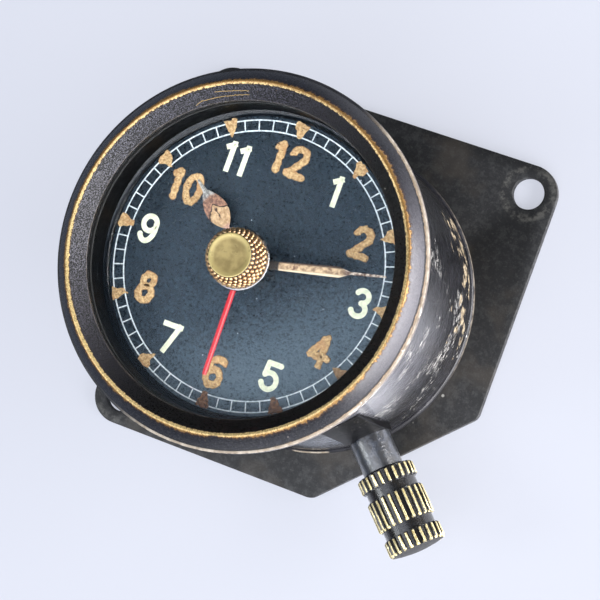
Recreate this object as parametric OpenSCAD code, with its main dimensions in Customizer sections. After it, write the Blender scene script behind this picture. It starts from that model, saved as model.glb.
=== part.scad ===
// Eight-day panel clock with a side winder and a marker hand set by a knob in the glass.
// Millimetres. The origin is the middle of the plate's back, +Z comes out of the dial, +Y points to 12.

/* [Mounting plate] */
// Width of the square plate
plate_w = 63.5; // [60:0.5:70]
// Thickness of the plate
plate_t = 1.6; // [1.4:0.1:3]
// Radius of the plate's corners
plate_corner_r = 4.75; // [2:0.25:6]
// Distance between two screw holes along an edge
hole_pitch = 54; // [52:0.5:56]
// Diameter of a screw hole
hole_d = 5.2; // [3:0.1:6]
// Distance from the clock's axis to the cut corner
corner_cut = 29.6; // [28:0.2:34]

/* [Case] */
// Outside diameter of the drum
drum_d = 50.8; // [50.2:0.2:53]
// Height of the drum, from the plate to its mouth
drum_h = 46.1; // [45.1:0.25:51.1]
// Thickness of the drum's wall behind the dial
drum_wall = 2; // [1.6:0.1:2.4]
// Thickness of the drum's floor
floor_t = 1.6; // [1.2:0.1:2.4]
// Width of the ledge that the dial lies on
dial_ledge = 0.8; // [0.5:0.05:1]
// How far the flange round the mouth stands out
flange_w = 3; // [2.4:0.05:4]
// Thickness of the flange
flange_t = 0.95; // [0.7:0.05:1.8]
// Width of the bead at the foot of the drum
foot_w = 0.5; // [0.2:0.1:1]
// Height of the bead at the foot of the drum
foot_h = 0.9; // [0.5:0.1:2]

/* [Bezel] */
// Step from the flange's edge in to the bezel's foot
bezel_step = 0.4; // [0.2:0.02:0.8]
// Distance from the flange's edge in to the bezel's crest
crest_in = 2.45; // [2:0.05:3]
// Height of the crest above the flange
crest_h = 2.7; // [2:0.05:3.6]
// How far the bezel reaches in over the glass
glass_hold = 0.65; // [0.4:0.05:1.2]
// Height of the opening's upper edge above the flange
lip_rise = 0.65; // [0.4:0.05:1]
// Length of the spigot that screws into the drum's mouth
spigot_h = 2.3; // [1.8:0.05:3]
// Wall of the spigot
spigot_wall = 0.5; // [0.4:0.05:0.7]

/* [Glass and dial] */
// Depth of the glass's front below the flange
glass_drop = 0.1; // [0:0.05:0.3]
// Thickness of the glass
glass_t = 1.3; // [1:0.1:1.5]
// Thickness of the gasket behind the glass
gasket_t = 0.4; // [0.2:0.05:0.6]
// Depth of the dial's face below the flange
dial_drop = 7; // [6.75:0.05:7.35]
// Thickness of the dial
dial_t = 0.6; // [0.4:0.1:1]

/* [Hands] */
// Length of the hour hand
hour_len = 15.3; // [12:0.1:17]
// Length of the minute hand
minute_len = 21.3; // [18:0.1:22.5]
// Length of the marker hand
marker_len = 17.6; // [14:0.1:22]
// Thickness of each hand
hand_t = 0.3; // [0.2:0.05:0.4]
// Height of the hour hand above the dial
hour_rise = 1.25; // [0.9:0.05:1.6]
// Height of the minute hand above the dial
minute_rise = 2.75; // [2.4:0.05:3]
// Gap between the marker hand and the nut behind the glass
marker_gap = 0.2; // [0.1:0.05:0.4]
// Hour hand's angle, clockwise from 12
hour_deg = 307.5; // [0:0.5:359.5]
// Minute hand's angle, clockwise from 12
minute_deg = 77; // [0:0.5:359.5]
// Marker hand's angle, clockwise from 12
marker_deg = 179; // [0:0.5:359.5]

/* [Marker knob] */
// Diameter of the knob
knob_d = 9.2; // [8:0.1:11]
// Height of the knob
knob_h = 4.3; // [3.6:0.1:6]
// Diameter of the knob's dished top
knob_top_d = 6.2; // [5.5:0.1:7]
// Diameter of the spindle
spindle_d = 2.5; // [2:0.1:3]
// Diameter of the bush's flange on the glass
bush_d = 9.6; // [9:0.1:12]

/* [Winder] */
// Direction of the winder, counted from 3 o'clock
stem_deg = -45; // [-47:1:-43]
// Height of the stem above the plate
stem_rise = 11; // [10.6:0.1:12]
// Diameter of the stem
stem_d = 2.6; // [2.4:0.1:2.8]
// Diameter of the tube round the stem
tube_d = 6.1; // [5.6:0.1:6.4]
// Width of the square boss on the drum
boss_w = 6.6; // [6.4:0.1:8]
// How far the boss stands out from the drum
boss_reach = 1.2; // [0.9:0.1:2.8]
// Distance from the boss to the winder's inner end
crown_start = 5.8; // [4.8:0.1:8.4]
// Diameter of the winder over its ribs
crown_d = 9.35; // [8.6:0.05:11]
// Depth of a groove between two ribs
rib_depth = 0.42; // [0.2:0.02:0.6]
// Number of ribs
rib_count = 24; // [18:1:30]
// Length of the winder's inner ribbed band
inner_band = 2.4; // [2:0.1:4]
// Length of the winder's middle ribbed band
middle_band = 5; // [3:0.1:8]
// Length of the winder's outer ribbed band
outer_band = 2.7; // [1.5:0.1:5]
// Width of the grooves between the bands
band_gap = 1.5; // [0.8:0.1:2]
// How far the winder pulls out
pull_out = 1.5; // [0.5:0.1:1.5]

/* [Movement] */
// Thickness of the movement's plates
mov_plate_t = 1.6; // [1.2:0.1:2]
// Gap between the movement's plates and the drum
mov_gap = 0.9; // [0.5:0.1:1.4]
// Distance between the front plate and the dial, for the motion work
motion_h = 5.5; // [4.5:0.1:7]
// Gap between the back plate and the winding wheels
keyless_gap = 0.45; // [0.2:0.05:0.8]
// Radius of the balance
balance_r = 5; // [4:0.1:5.1]

/* [Hidden] */
$fn = 64;
eps = 0.01;
fit = 0.05;
stake = 0.01;
end_shake = 0.1;

// Teeth of each wheel pair, driver first: the ratios of an eight-day clock
barrel_teeth = [64, 8];
inter_teeth = [50, 10];
centre_teeth = [64, 8];
third_teeth = [60, 8];
fourth_teeth = [60, 6];
cannon_teeth = [12, 36];
hour_teeth = [10, 40];
ratchet_teeth = [45, 31];
winding_teeth = [12, 36];
escape_count = 15;

// Radii of the case, from the drum inwards
drum_r = drum_d / 2;
flange_r = drum_r + flange_w;
bore_r = drum_r - drum_wall;
seat_r = bore_r + dial_ledge;
mouth_r = seat_r + spigot_wall;
ring_r = seat_r - 2 * fit;
opening_r = ring_r - glass_hold;
crest_r = flange_r - crest_in;
bezel_foot_r = flange_r - bezel_step;

// Heights of the case and the dial side
z_floor = plate_t + floor_t;
z_rim = plate_t + drum_h;
z_crest = z_rim + crest_h;
z_dial = z_rim - dial_drop;
z_seat = z_dial - dial_t;
z_glass_top = z_rim - glass_drop;
z_glass = z_glass_top - glass_t;
z_gasket = z_glass - gasket_t;
z_spigot = z_rim - spigot_h;
z_mouth = z_spigot - 4 * fit;
z_hour = z_dial + hour_rise;
z_minute = z_dial + minute_rise;
nut_t = 0.55;
z_marker = z_glass - nut_t - marker_gap - hand_t;

// Plates of the movement: the back one lies under the winding wheels, the front one behind the dial
mov_r = bore_r - mov_gap;
z_front_top = z_seat - motion_h;
z_front = z_front_top - mov_plate_t;

// Plate holes: three corners of a square, the fourth corner is cut away for the winder
hole_places = [for (s = [[-1, 1], [1, 1], [-1, -1]]) s * hole_pitch / 2];

// Screws that hold plate, drum and movement together
back_screw_degs = [30, 150, 270];
back_screw_r = 1.25;
back_screw_head_r = 2.3;
back_screw_in = 5.5;
back_screw_pcr = mov_r - back_screw_in;
post_r = 2.6;

// Pillars between the movement's plates
pillar_degs = [0, 105, 170, 285];
pillar_in = 2.5;
pillar_pcr = mov_r - pillar_in;
pillar_r = 1.6;
pillar_screw_r = 0.8;
screw_head_r = 1.4;
screw_head_h = 0.8;
screw_slot_w = 0.35;

// Feet under the dial
foot_degs = [30, 150, 270];
dial_foot_r = 0.9;
dial_foot_in = 4.5;
dial_foot_pcr = mov_r - dial_foot_in;

// Tooth forms: depth below the pitch circle, height above it, half width at root and tip.
// Depth and height count in modules, widths in pitches.
wheel_form = [1.25, 0.80, 0.30, 0.11];
pinion_form = [1.20, 0.75, 0.21, 0.12];

// Modules of the gear pairs. The train fills the plates, so the modules follow the plates' radius
module_unit = mov_r / 450;
m_barrel = 6 * module_unit;
m_inter = 5 * module_unit;
m_centre = 4 * module_unit;
m_third = 3.6 * module_unit;
m_fourth = 3.2 * module_unit;
m_cannon = 6 * module_unit;
m_ratchet = 8 * module_unit;
m_winding = 6 * module_unit;

function polar(r, a) = [r * cos(a), r * sin(a)];
function pitch_r(n, m) = n * m / 2;
function spacing(pair, m) = pitch_r(pair[0] + pair[1], m);
function bearing(p, q) = atan2(q[1] - p[1], q[0] - p[0]);

// Places of the arbors, each one gear spacing from the last
centre_at = [0, 0];
inter_at = polar(spacing(inter_teeth, m_inter), 110.7);
barrel_at = inter_at + polar(spacing(barrel_teeth, m_barrel), 5.7);
third_at = polar(spacing(centre_teeth, m_centre), 200);
fourth_at = third_at + polar(spacing(third_teeth, m_third), -60);
escape_at = fourth_at + polar(spacing(fourth_teeth, m_fourth), -100);
lever_reach = 4;
lever_at = escape_at + polar(lever_reach, 165);

// The balance lies just inside the edge of the plates, and clears the lever's arbor
balance_edge = 0.265;
lever_clear = 1;
balance_reach = balance_r + lever_clear;
balance_ring = mov_r - balance_r - balance_edge;
fork_turn = acos((pow(norm(lever_at), 2) + pow(balance_reach, 2) - pow(balance_ring, 2))
    / (2 * norm(lever_at) * balance_reach));
fork_deg = bearing(lever_at, centre_at) + fork_turn;
balance_at = lever_at + polar(balance_reach, fork_deg);
cannon_reach = spacing(cannon_teeth, m_cannon);
m_hour = 2 * cannon_reach / (hour_teeth[0] + hour_teeth[1]);
minute_at = polar(cannon_reach, 60);

// The crown wheel lies on the winder's line, one gear spacing from the barrel's arbor
stem_dir = polar(1, stem_deg);
stem_side = polar(1, stem_deg + 90);
barrel_off = barrel_at * stem_side;
crown_along = barrel_at * stem_dir + sqrt(pow(spacing(ratchet_teeth, m_ratchet), 2) - pow(barrel_off, 2));
crown_at = crown_along * stem_dir;

// Heights of the wheels
z_stem = plate_t + stem_rise;
keyless_t = 1.4;
face_r = pitch_r(winding_teeth[1], m_winding);
face_w = 1.4;
face_root = wheel_form[0] * m_winding;
face_tip = wheel_form[1] * m_winding;
z_crown_top = z_stem - pitch_r(winding_teeth[0], m_winding) - face_root;
z_crown = z_crown_top - keyless_t;
z_back_top = z_crown - keyless_gap;
z_back = z_back_top - mov_plate_t;
post_h = z_back - z_floor;
pillar_h = z_front - z_back_top;
wheel_t = 0.6;
layer = 1.4;
z_centre_wheel = z_front - layer - wheel_t / 2;
z_inter_wheel = z_centre_wheel - layer;
barrel_top_gap = 0.8;
z_barrel_top = z_inter_wheel - barrel_top_gap;
barrel_lift = 0.6;
z_barrel = z_stem + barrel_lift;
barrel_teeth_drop = 2.6;
z_barrel_teeth = z_barrel_top - barrel_teeth_drop;
barrel_teeth_t = 1.6;
third_drop = 4.2;
z_third_wheel = z_centre_wheel - third_drop;
fourth_lift = 3.4;
z_fourth_wheel = z_stem + fourth_lift;
escape_lift = 0.6;
z_escape = z_stem + escape_lift;
balance_drop = 2;
z_balance = z_stem - balance_drop;
bridge_lift = 2.6;
z_bridge = z_fourth_wheel + bridge_lift;
bridge_t = 1.2;
leaf_over = 0.5;

// Arbors and pivots: a train arbor is as thick as the roots of its pinion allow
arbor_r = pitch_r(centre_teeth[1], m_centre) - m_centre;
pivot_r = 0.4;
centre_arbor_r = 0.7;
centre_pivot_r = 0.45;
slim_r = 0.3;
staff_r = 0.35;

// Barrel and spring
barrel_r = pitch_r(barrel_teeth[0], m_barrel) - 0.6;
barrel_wall = 0.6;
barrel_floor_t = 0.8;
barrel_arbor_r = 1.5;
barrel_core_r = 3;
barrel_pivot_r = 1;
barrel_square = 2;
mainspring_t = 0.25;
mainspring_pitch = 0.62;

// Motion work
cannon_r = 1;
hour_pipe_r = 1.6;
dial_hole_gap = 0.8;
dial_hole_r = hour_pipe_r + dial_hole_gap;
cannon_gap = 0.4;
z_cannon = z_front_top + cannon_gap;
motion_over = 0.3;
z_minute_wheel = z_cannon + motion_over;
hour_wheel_lift = 1.6;
z_hour_wheel = z_minute_wheel + hour_wheel_lift;
minute_stud_r = 0.8;
minute_stud_step = 0.5;

// Winder
boss_corner_r = 0.6;
boss_root = 2;
boss_face = drum_r + boss_reach;
crown_base = boss_face + crown_start;
tube_step = 0.7;
tube_spigot_r = tube_d / 2 - tube_step;
tube_bore_r = stem_d / 2 + fit;
stem_square = stem_d * 0.65;
crown_r = crown_d / 2;
crown_core_r = crown_r - rib_depth;
crown_neck_in = 0.12;
crown_neck_r = crown_core_r - crown_neck_in;
crown_dome_h = 0.45;
crown_len = inner_band + middle_band + outer_band + 2 * band_gap;
crown_end = crown_base + crown_len;
crown_gap = 0.2;
tube_end = crown_base - crown_gap;
journal_over = 0.2;
journal_r = pitch_r(winding_teeth[0], m_winding) + journal_over;
bearing_gap = 0.9;
bearing_start = crown_along + face_r + face_w / 2 + bearing_gap;
bearing_t = 2;
bearing_w = 6;
pinion_start = crown_along + face_r - face_w / 2 - end_shake;
pinion_over = 0.3;
pinion_end = bearing_start + bearing_t + pinion_over;
stem_start = pinion_start - pull_out - end_shake;

// Escapement
escape_r = 2.6;
escape_root_r = 1.75;
pallet_gap = 0.45;
pallet_spread = 30;
impulse_r = 1.6;
impulse_pin_r = 0.2;
slot_play = 0.24;
lever_t = 0.5;
lever_hub_r = 0.8;
lever_arm_w = 0.5;
stone_len = 0.9;
fork_stem_w = 0.6;
fork_w = 1.5;
fork_l = 1.4;
balance_rim = 0.7;
balance_t = 1;
balance_hub_r = 1.2;
balance_arm_w = 0.9;
roller_r = 2;
roller_t = 0.5;
roller_gap = 0.3;
z_roller = z_escape - roller_t - roller_gap;
collet_h = 0.7;
collet_gap = 0.2;
hair_drop = 1.2;
z_hair = z_balance - hair_drop;
hair_stud_r = 0.4;
hair_stud_off = 0.35;
hair_start_r = 1.3;
hair_end_r = 3.7;
hair_turns = 6;
hair_t = 0.14;
hair_w = 0.5;
bridge_post_r = 1.3;
bridge_w = 3;
bridge_screw_grip = 4;
bridge_end_len = 4.5;
post_clear = 0.6;
bridge_post_places = [escape_at + polar(bridge_end_len, -60),
    balance_at + polar(balance_r + bridge_post_r + post_clear, 122)];

// Click
ratchet_tip_r = pitch_r(ratchet_teeth[0], m_ratchet) + wheel_form[1] * m_ratchet;
click_out = 2.88;
click_at = barrel_at + polar(ratchet_tip_r + click_out, 120);
click_tip_gap = 0.15;
click_nose = barrel_at + polar(ratchet_tip_r + click_tip_gap, 95);
click_t = 1.2;
click_hub_r = 1.3;
click_pin_r = 0.8;
click_arm_w = 0.9;
click_nose_l = 1.4;
click_nose_h = 1;
click_tail = 3;
click_tail_w = 0.8;
click_spring_out = 3.28;
click_spring_at = barrel_at + polar(ratchet_tip_r + click_spring_out, 150);
click_spring_t = 0.3;
click_spring_foot_r = 1.1;
click_spring_drop = 1.2;

// Marker
bush_flange_t = 0.4;
bush_wall = 0.95;
spindle_r = spindle_d / 2;
bush_r = spindle_r + bush_wall;
z_knob = z_glass_top + bush_flange_t + end_shake;
z_knob_top = z_knob + knob_h;
knob_recess_r = 3;
knob_recess_h = 0.6;
knob_dish = 0.25;

// Shared shapes

module at(p, z = 0) { translate([p[0], p[1], z]) children(); }

// A frame on the winder's axis: local Z runs outwards, r counts from the clock's axis
module on_stem(r) { rotate([0, 0, stem_deg]) translate([r, 0, z_stem]) rotate([0, 90, 0]) children(); }

module ring(r_out, r_in, h) {
    difference() {
        cylinder(r = r_out, h = h);
        translate([0, 0, -eps]) cylinder(r = r_in, h = h + 2 * eps);
    }
}

// A flat link between two points, round at both ends
module link(p, q, w) {
    translate(p) circle(d = w);
    translate(q) circle(d = w);
    translate(p) rotate(bearing(p, q)) translate([0, -w / 2]) square([norm(q - p), w]);
}

function tooth_steps(root, tip, root_deg, tip_deg) =
    [[root, -root_deg], [tip, -tip_deg], [tip, tip_deg], [root, root_deg]];

function toothed(n, steps, phase) =
    [for (i = [0 : n - 1]) for (s = steps) polar(s[0], 360 * i / n + phase + s[1])];

function gear_steps(n, m, form) =
    let (root = pitch_r(n, m) - form[0] * m, tip = pitch_r(n, m) + form[1] * m)
    tooth_steps(root, tip, form[2] * 180 * m / root, form[3] * 180 * m / tip);

module gear_outline(n, m, form, phase) { polygon(toothed(n, gear_steps(n, m, form), phase)); }

// A crossed-out wheel: toothed rim, arms and hub
module crossed_wheel(n, m, bore_r, phase, arms = 4) {
    rim_r = pitch_r(n, m) - wheel_form[0] * m - 0.7;
    hub_r = bore_r + 0.8;
    arm_w = 0.8;
    linear_extrude(wheel_t) difference() {
        gear_outline(n, m, wheel_form, phase);
        circle(bore_r);
        difference() {
            circle(rim_r);
            circle(hub_r);
            for (i = [0 : arms - 1]) rotate(360 * i / arms) translate([0, -arm_w / 2]) square([rim_r, arm_w]);
        }
    }
}

// An arbor between two plates, with a pivot at each end
module pivoted_arbor(body_r, end_r, z_low, z_low_in, z_high_in, z_high) {
    translate([0, 0, z_low]) cylinder(r = end_r, h = z_high - z_low);
    translate([0, 0, z_low_in + end_shake]) cylinder(r = body_r, h = z_high_in - z_low_in - 2 * end_shake);
}

module train_arbor(n, m, z_leaves, phase, high_in = z_front, high = z_front_top) {
    pivoted_arbor(arbor_r, pivot_r, z_back, z_back_top, high_in, high);
    translate([0, 0, z_leaves - leaf_over])
        linear_extrude(wheel_t + 2 * leaf_over) gear_outline(n, m, pinion_form, phase);
}

// Phase of a driven gear whose gap meets the driver's tooth on the line of centres
function gap_phase(p, q, n) = bearing(q, p) + 180 / n;

module slotted_screw(head_r, head_h, shank_r, shank_h) {
    translate([0, 0, -shank_h]) cylinder(r = shank_r, h = shank_h + eps);
    difference() {
        cylinder(r = head_r, h = head_h);
        translate([-head_r, -screw_slot_w / 2, head_h * 0.5]) cube([2 * head_r, screw_slot_w, head_h]);
    }
}

// A flat strip wound into a spiral, as one closed outline
module spiral_strip(r0, r1, turns, t) {
    steps = 20;
    count = turns * steps;
    mid = [for (i = [0 : count]) [r0 + (r1 - r0) * i / count, 360 * i / steps]];
    polygon(concat([for (p = mid) polar(p[0] - t / 2, p[1])],
        [for (i = [count : -1 : 0]) polar(mid[i][0] + t / 2, mid[i][1])]));
}

module plate_outline() {
    inner_w = plate_w - 2 * plate_corner_r;
    difference() {
        union() {
            square([plate_w, inner_w], center = true);
            square([inner_w, plate_w], center = true);
            for (x = [-1, 1], y = [-1, 1]) translate([x, y] * inner_w / 2) circle(plate_corner_r);
        }
        rotate(stem_deg) translate([corner_cut, -plate_w]) square([plate_w, 2 * plate_w]);
    }
}

// Case

module mounting_plate() {
    color([0.13, 0.13, 0.13]) difference() {
        linear_extrude(plate_t) difference() {
            plate_outline();
            for (p = hole_places) translate(p) circle(d = hole_d);
            for (a = back_screw_degs) translate(polar(back_screw_pcr, a)) circle(back_screw_r + fit);
        }
        for (a = back_screw_degs) at(polar(back_screw_pcr, a), -eps)
            cylinder(r1 = back_screw_head_r + fit, r2 = back_screw_r + fit, h = plate_t * 0.75);
    }
}

module back_screws() {
    color([0.35, 0.35, 0.36]) for (a = back_screw_degs) at(polar(back_screw_pcr, a)) {
        cylinder(r = back_screw_r, h = z_back_top);
        difference() {
            cylinder(r1 = back_screw_head_r, r2 = back_screw_r, h = plate_t * 0.75);
            translate([-back_screw_head_r, -screw_slot_w / 2, -eps])
                cube([2 * back_screw_head_r, screw_slot_w, plate_t * 0.3]);
        }
    }
}

module case_drum() {
    edge = 0.25;
    outline = [[0, plate_t], [drum_r + foot_w, plate_t], [drum_r + foot_w, plate_t + foot_h / 2],
        [drum_r, plate_t + foot_h], [drum_r, z_rim - flange_t], [flange_r - edge, z_rim - flange_t],
        [flange_r, z_rim - flange_t + edge], [flange_r, z_rim - edge], [flange_r - edge, z_rim],
        [mouth_r, z_rim], [mouth_r, z_mouth], [seat_r, z_mouth], [seat_r, z_seat], [bore_r, z_seat],
        [bore_r, z_floor], [0, z_floor]];
    color([0.11, 0.11, 0.12]) difference() {
        rotate_extrude($fn = 96) polygon(outline);
        on_stem(bore_r - 1) cylinder(r = tube_bore_r, h = drum_wall + 2);
        for (a = back_screw_degs)
            at(polar(back_screw_pcr, a)) cylinder(r = back_screw_r + fit, h = z_floor + 1);
    }
}

module stem_boss() {
    inner_w = boss_w - 2 * boss_corner_r;
    color([0.09, 0.09, 0.1]) difference() {
        on_stem(drum_r - boss_root) linear_extrude(boss_reach + boss_root) difference() {
            union() {
                square([boss_w, inner_w], center = true);
                square([inner_w, boss_w], center = true);
                for (x = [-1, 1], y = [-1, 1]) translate([x, y] * inner_w / 2) circle(boss_corner_r);
            }
            circle(tube_spigot_r + stake);
        }
        cylinder(r = drum_r + fit, h = z_rim);
    }
}

module stem_tube() {
    color([0.12, 0.13, 0.15]) on_stem(0) difference() {
        union() {
            translate([0, 0, drum_r + fit]) cylinder(r = tube_spigot_r, h = tube_end - drum_r - fit);
            translate([0, 0, boss_face]) cylinder(d = tube_d, h = tube_end - boss_face);
        }
        translate([0, 0, drum_r - 1]) cylinder(r = tube_bore_r, h = tube_end - drum_r + 2);
    }
}

module bezel() {
    // The outer slope swells a little between the foot and the crest
    swell = 0.06;
    slope_steps = 6;
    foot = [bezel_foot_r, z_rim + 0.25];
    shoulder = [crest_r + 0.2, z_crest - 0.06];
    along = shoulder - foot;
    normal = [along[1], -along[0]] / norm(along);
    slope = [for (i = [0 : slope_steps])
        foot + along * i / slope_steps + normal * swell * sin(180 * i / slope_steps)];
    inner_crest = [[crest_r, z_crest], [crest_r - 0.25, z_crest - 0.08]];
    lip_z = z_rim + lip_rise;
    outline = concat([[mouth_r - fit, z_spigot], [mouth_r - fit, z_rim], [bezel_foot_r, z_rim]], slope,
        inner_crest, [[opening_r, lip_z], [opening_r, z_glass_top], [ring_r + fit, z_glass_top],
        [ring_r + fit, z_spigot]]);
    color([0.10, 0.10, 0.11]) rotate_extrude($fn = 96) polygon(outline);
}

module crystal() {
    color([0.85, 0.9, 0.92, 0.3]) at([0, 0], z_glass) ring(ring_r, bush_r + fit, glass_t);
}

module crystal_gasket() {
    color([0.06, 0.06, 0.06]) at([0, 0], z_gasket) ring(ring_r, opening_r, gasket_t);
}

module spacer_ring() {
    color([0.05, 0.05, 0.05]) at([0, 0], z_dial) ring(ring_r, opening_r, z_gasket - z_dial);
}

module dial() {
    color([0.10, 0.13, 0.15]) at([0, 0], z_seat) ring(ring_r, dial_hole_r, dial_t);
}

module dial_feet() {
    color([0.72, 0.58, 0.3]) for (a = foot_degs)
        at(polar(dial_foot_pcr, a), z_front) cylinder(r = dial_foot_r, h = z_seat - z_front);
}

// Movement frame

module movement_posts() {
    color([0.72, 0.58, 0.3]) for (a = back_screw_degs)
        at(polar(back_screw_pcr, a), z_floor) ring(post_r, back_screw_r + fit, post_h);
}

module back_plate() {
    color([0.76, 0.62, 0.33]) at([0, 0], z_back) linear_extrude(mov_plate_t) difference() {
        circle(mov_r);
        circle(centre_pivot_r + fit);
        for (p = [inter_at, third_at, fourth_at]) translate(p) circle(pivot_r + fit);
        for (p = [lever_at, balance_at]) translate(p) circle(staff_r + fit);
        translate(escape_at) circle(slim_r + fit);
        translate(barrel_at) circle(barrel_pivot_r + fit);
        translate(click_at) circle(click_pin_r + fit);
        for (a = back_screw_degs) translate(polar(back_screw_pcr, a)) circle(back_screw_r + stake);
        for (a = pillar_degs) translate(polar(pillar_pcr, a)) circle(pillar_screw_r + fit);
    }
}

module front_plate() {
    color([0.76, 0.62, 0.33]) at([0, 0], z_front) linear_extrude(mov_plate_t) difference() {
        circle(mov_r);
        circle(centre_arbor_r + fit);
        for (p = [inter_at, third_at, fourth_at]) translate(p) circle(pivot_r + fit);
        translate(barrel_at) circle(barrel_pivot_r + fit);
        for (a = foot_degs) translate(polar(dial_foot_pcr, a)) circle(dial_foot_r + stake);
        for (a = pillar_degs) translate(polar(pillar_pcr, a)) circle(pillar_screw_r + fit);
    }
}

module movement_pillars() {
    color([0.72, 0.58, 0.3]) for (a = pillar_degs)
        at(polar(pillar_pcr, a), z_back_top) ring(pillar_r, pillar_screw_r + stake, pillar_h);
}

module pillar_screws() {
    shank = mov_plate_t + pillar_h / 3;
    color([0.35, 0.37, 0.45]) for (a = pillar_degs) {
        at(polar(pillar_pcr, a), z_front_top)
            slotted_screw(screw_head_r, screw_head_h, pillar_screw_r, shank);
        at(polar(pillar_pcr, a), z_back) mirror([0, 0, 1])
            slotted_screw(screw_head_r, screw_head_h, pillar_screw_r, shank);
    }
}

// Barrel and winding

module barrel() {
    color([0.76, 0.62, 0.33]) at(barrel_at) difference() {
        union() {
            translate([0, 0, z_barrel]) cylinder(r = barrel_r, h = z_barrel_top - z_barrel);
            translate([0, 0, z_barrel_teeth]) linear_extrude(barrel_teeth_t)
                gear_outline(barrel_teeth[0], m_barrel, wheel_form, bearing(barrel_at, inter_at));
        }
        translate([0, 0, z_barrel + barrel_floor_t])
            cylinder(r = barrel_r - barrel_wall, h = z_barrel_top - z_barrel);
        translate([0, 0, z_barrel - eps]) cylinder(r = barrel_arbor_r + fit, h = 2 * barrel_floor_t);
    }
}

module barrel_cover() {
    color([0.78, 0.65, 0.36]) at(barrel_at, z_barrel_top - barrel_floor_t)
        ring(barrel_r - barrel_wall - stake, barrel_arbor_r + fit, barrel_floor_t);
}

module mainspring() {
    r0 = barrel_core_r + 0.4;
    r1 = barrel_r - barrel_wall - 0.25;
    turns = floor((r1 - r0) / mainspring_pitch);
    color([0.4, 0.42, 0.5]) at(barrel_at, z_barrel + barrel_floor_t + 0.3)
        linear_extrude(z_barrel_top - z_barrel - 2 * barrel_floor_t - 0.6)
            spiral_strip(r0, r1, turns, mainspring_t);
}

module barrel_arbor() {
    core_z = z_barrel + barrel_floor_t + end_shake;
    core_h = z_barrel_top - z_barrel - 2 * (barrel_floor_t + end_shake);
    half = barrel_square / 2;
    color([0.6, 0.6, 0.63]) at(barrel_at) {
        translate([0, 0, z_back]) cylinder(r = barrel_pivot_r, h = z_front_top - z_back);
        translate([-half, -half, z_back_top + end_shake])
            cube([barrel_square, barrel_square, z_crown_top + 0.2 - z_back_top]);
        translate([0, 0, z_crown_top + 0.1])
            cylinder(r = barrel_arbor_r, h = z_front - end_shake - z_crown_top - 0.1);
        translate([0, 0, core_z]) cylinder(r = barrel_core_r, h = core_h);
    }
}

module ratchet_wheel() {
    hole = barrel_square + 2 * stake;
    color([0.62, 0.62, 0.65]) at(barrel_at, z_crown) linear_extrude(keyless_t) difference() {
        gear_outline(ratchet_teeth[0], m_ratchet, wheel_form, bearing(barrel_at, crown_at));
        square([hole, hole], center = true);
    }
}

module click() {
    tail = click_at + (click_at - click_nose) / norm(click_at - click_nose) * click_tail;
    color([0.62, 0.62, 0.65]) {
        at([0, 0], z_crown) linear_extrude(click_t) {
            translate(click_at) circle(click_hub_r);
            link(click_at, click_at * 0.12 + click_nose * 0.88 + [0, 0.35 * click_nose_h], click_arm_w);
            translate(click_nose) polygon([[0, 0], [-click_nose_l, 0.07 * click_nose_l],
                [-0.64 * click_nose_l, click_nose_h], [0.07 * click_nose_l, 0.7 * click_nose_h]]);
            link(click_at, tail, click_tail_w);
        }
        at(click_at, z_back) cylinder(r = click_pin_r, h = z_crown - z_back + click_t / 2);
    }
}

module click_spring() {
    tail = click_at + (click_at - click_nose) / norm(click_at - click_nose) * click_tail;
    blade_end = tail - [0, click_spring_drop];
    color([0.45, 0.5, 0.62]) at([0, 0], z_back_top) {
        linear_extrude(click_t) {
            translate(click_spring_at) circle(click_spring_foot_r);
            link(click_spring_at, blade_end, click_spring_t);
        }
    }
}

module crown_wheel() {
    tooth_w = [wheel_form[2], wheel_form[3]] * PI * m_winding;
    phase = gap_phase(barrel_at, crown_at, ratchet_teeth[1]);
    color([0.62, 0.62, 0.65]) at(crown_at) {
        translate([0, 0, z_crown]) linear_extrude(keyless_t) difference() {
            gear_outline(ratchet_teeth[1], m_ratchet, wheel_form, phase);
            circle(barrel_pivot_r + fit);
        }
        for (i = [0 : winding_teeth[1] - 1])
            translate([0, 0, z_crown_top - eps]) rotate([0, 0, stem_deg + 360 * i / winding_teeth[1]])
                translate([face_r - face_w / 2, 0, 0]) rotate([90, 0, 90]) linear_extrude(face_w)
                    polygon([[-tooth_w[0], 0], [tooth_w[0], 0], [tooth_w[1], face_root + face_tip],
                        [-tooth_w[1], face_root + face_tip]]);
    }
}

module crown_stud() {
    color([0.35, 0.37, 0.45]) at(crown_at, z_crown_top + end_shake)
        slotted_screw(2, 0.8, barrel_pivot_r, z_crown_top - z_back_top + end_shake);
}

module winding_pinion() {
    hole = stem_square + 2 * fit;
    color([0.6, 0.6, 0.63]) on_stem(pinion_start) difference() {
        union() {
            linear_extrude(face_w + 0.2) rotate(180 / winding_teeth[0])
                gear_outline(winding_teeth[0], m_winding, pinion_form, 0);
            translate([0, 0, face_w + 0.2 - eps])
                cylinder(r = journal_r, h = pinion_end - pinion_start - face_w - 0.2 + eps);
        }
        translate([-hole / 2, -hole / 2, -1]) cube([hole, hole, pinion_end - pinion_start + 2]);
    }
}

module winding_stem() {
    round_start = pinion_end + 0.1;
    color([0.6, 0.6, 0.63]) {
        on_stem(stem_start) translate([-stem_square / 2, -stem_square / 2, 0])
            cube([stem_square, stem_square, round_start - stem_start + eps]);
        on_stem(round_start) cylinder(d = stem_d, h = crown_end - outer_band - 2 * stake - round_start);
    }
}

module stem_bearing() {
    top = z_stem + journal_r + 1;
    color([0.72, 0.58, 0.3]) difference() {
        rotate([0, 0, stem_deg]) translate([bearing_start, -bearing_w / 2, z_back_top])
            cube([bearing_t, bearing_w, top - z_back_top]);
        on_stem(bearing_start - 1) cylinder(r = journal_r + fit, h = bearing_t + 2);
    }
}

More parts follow.
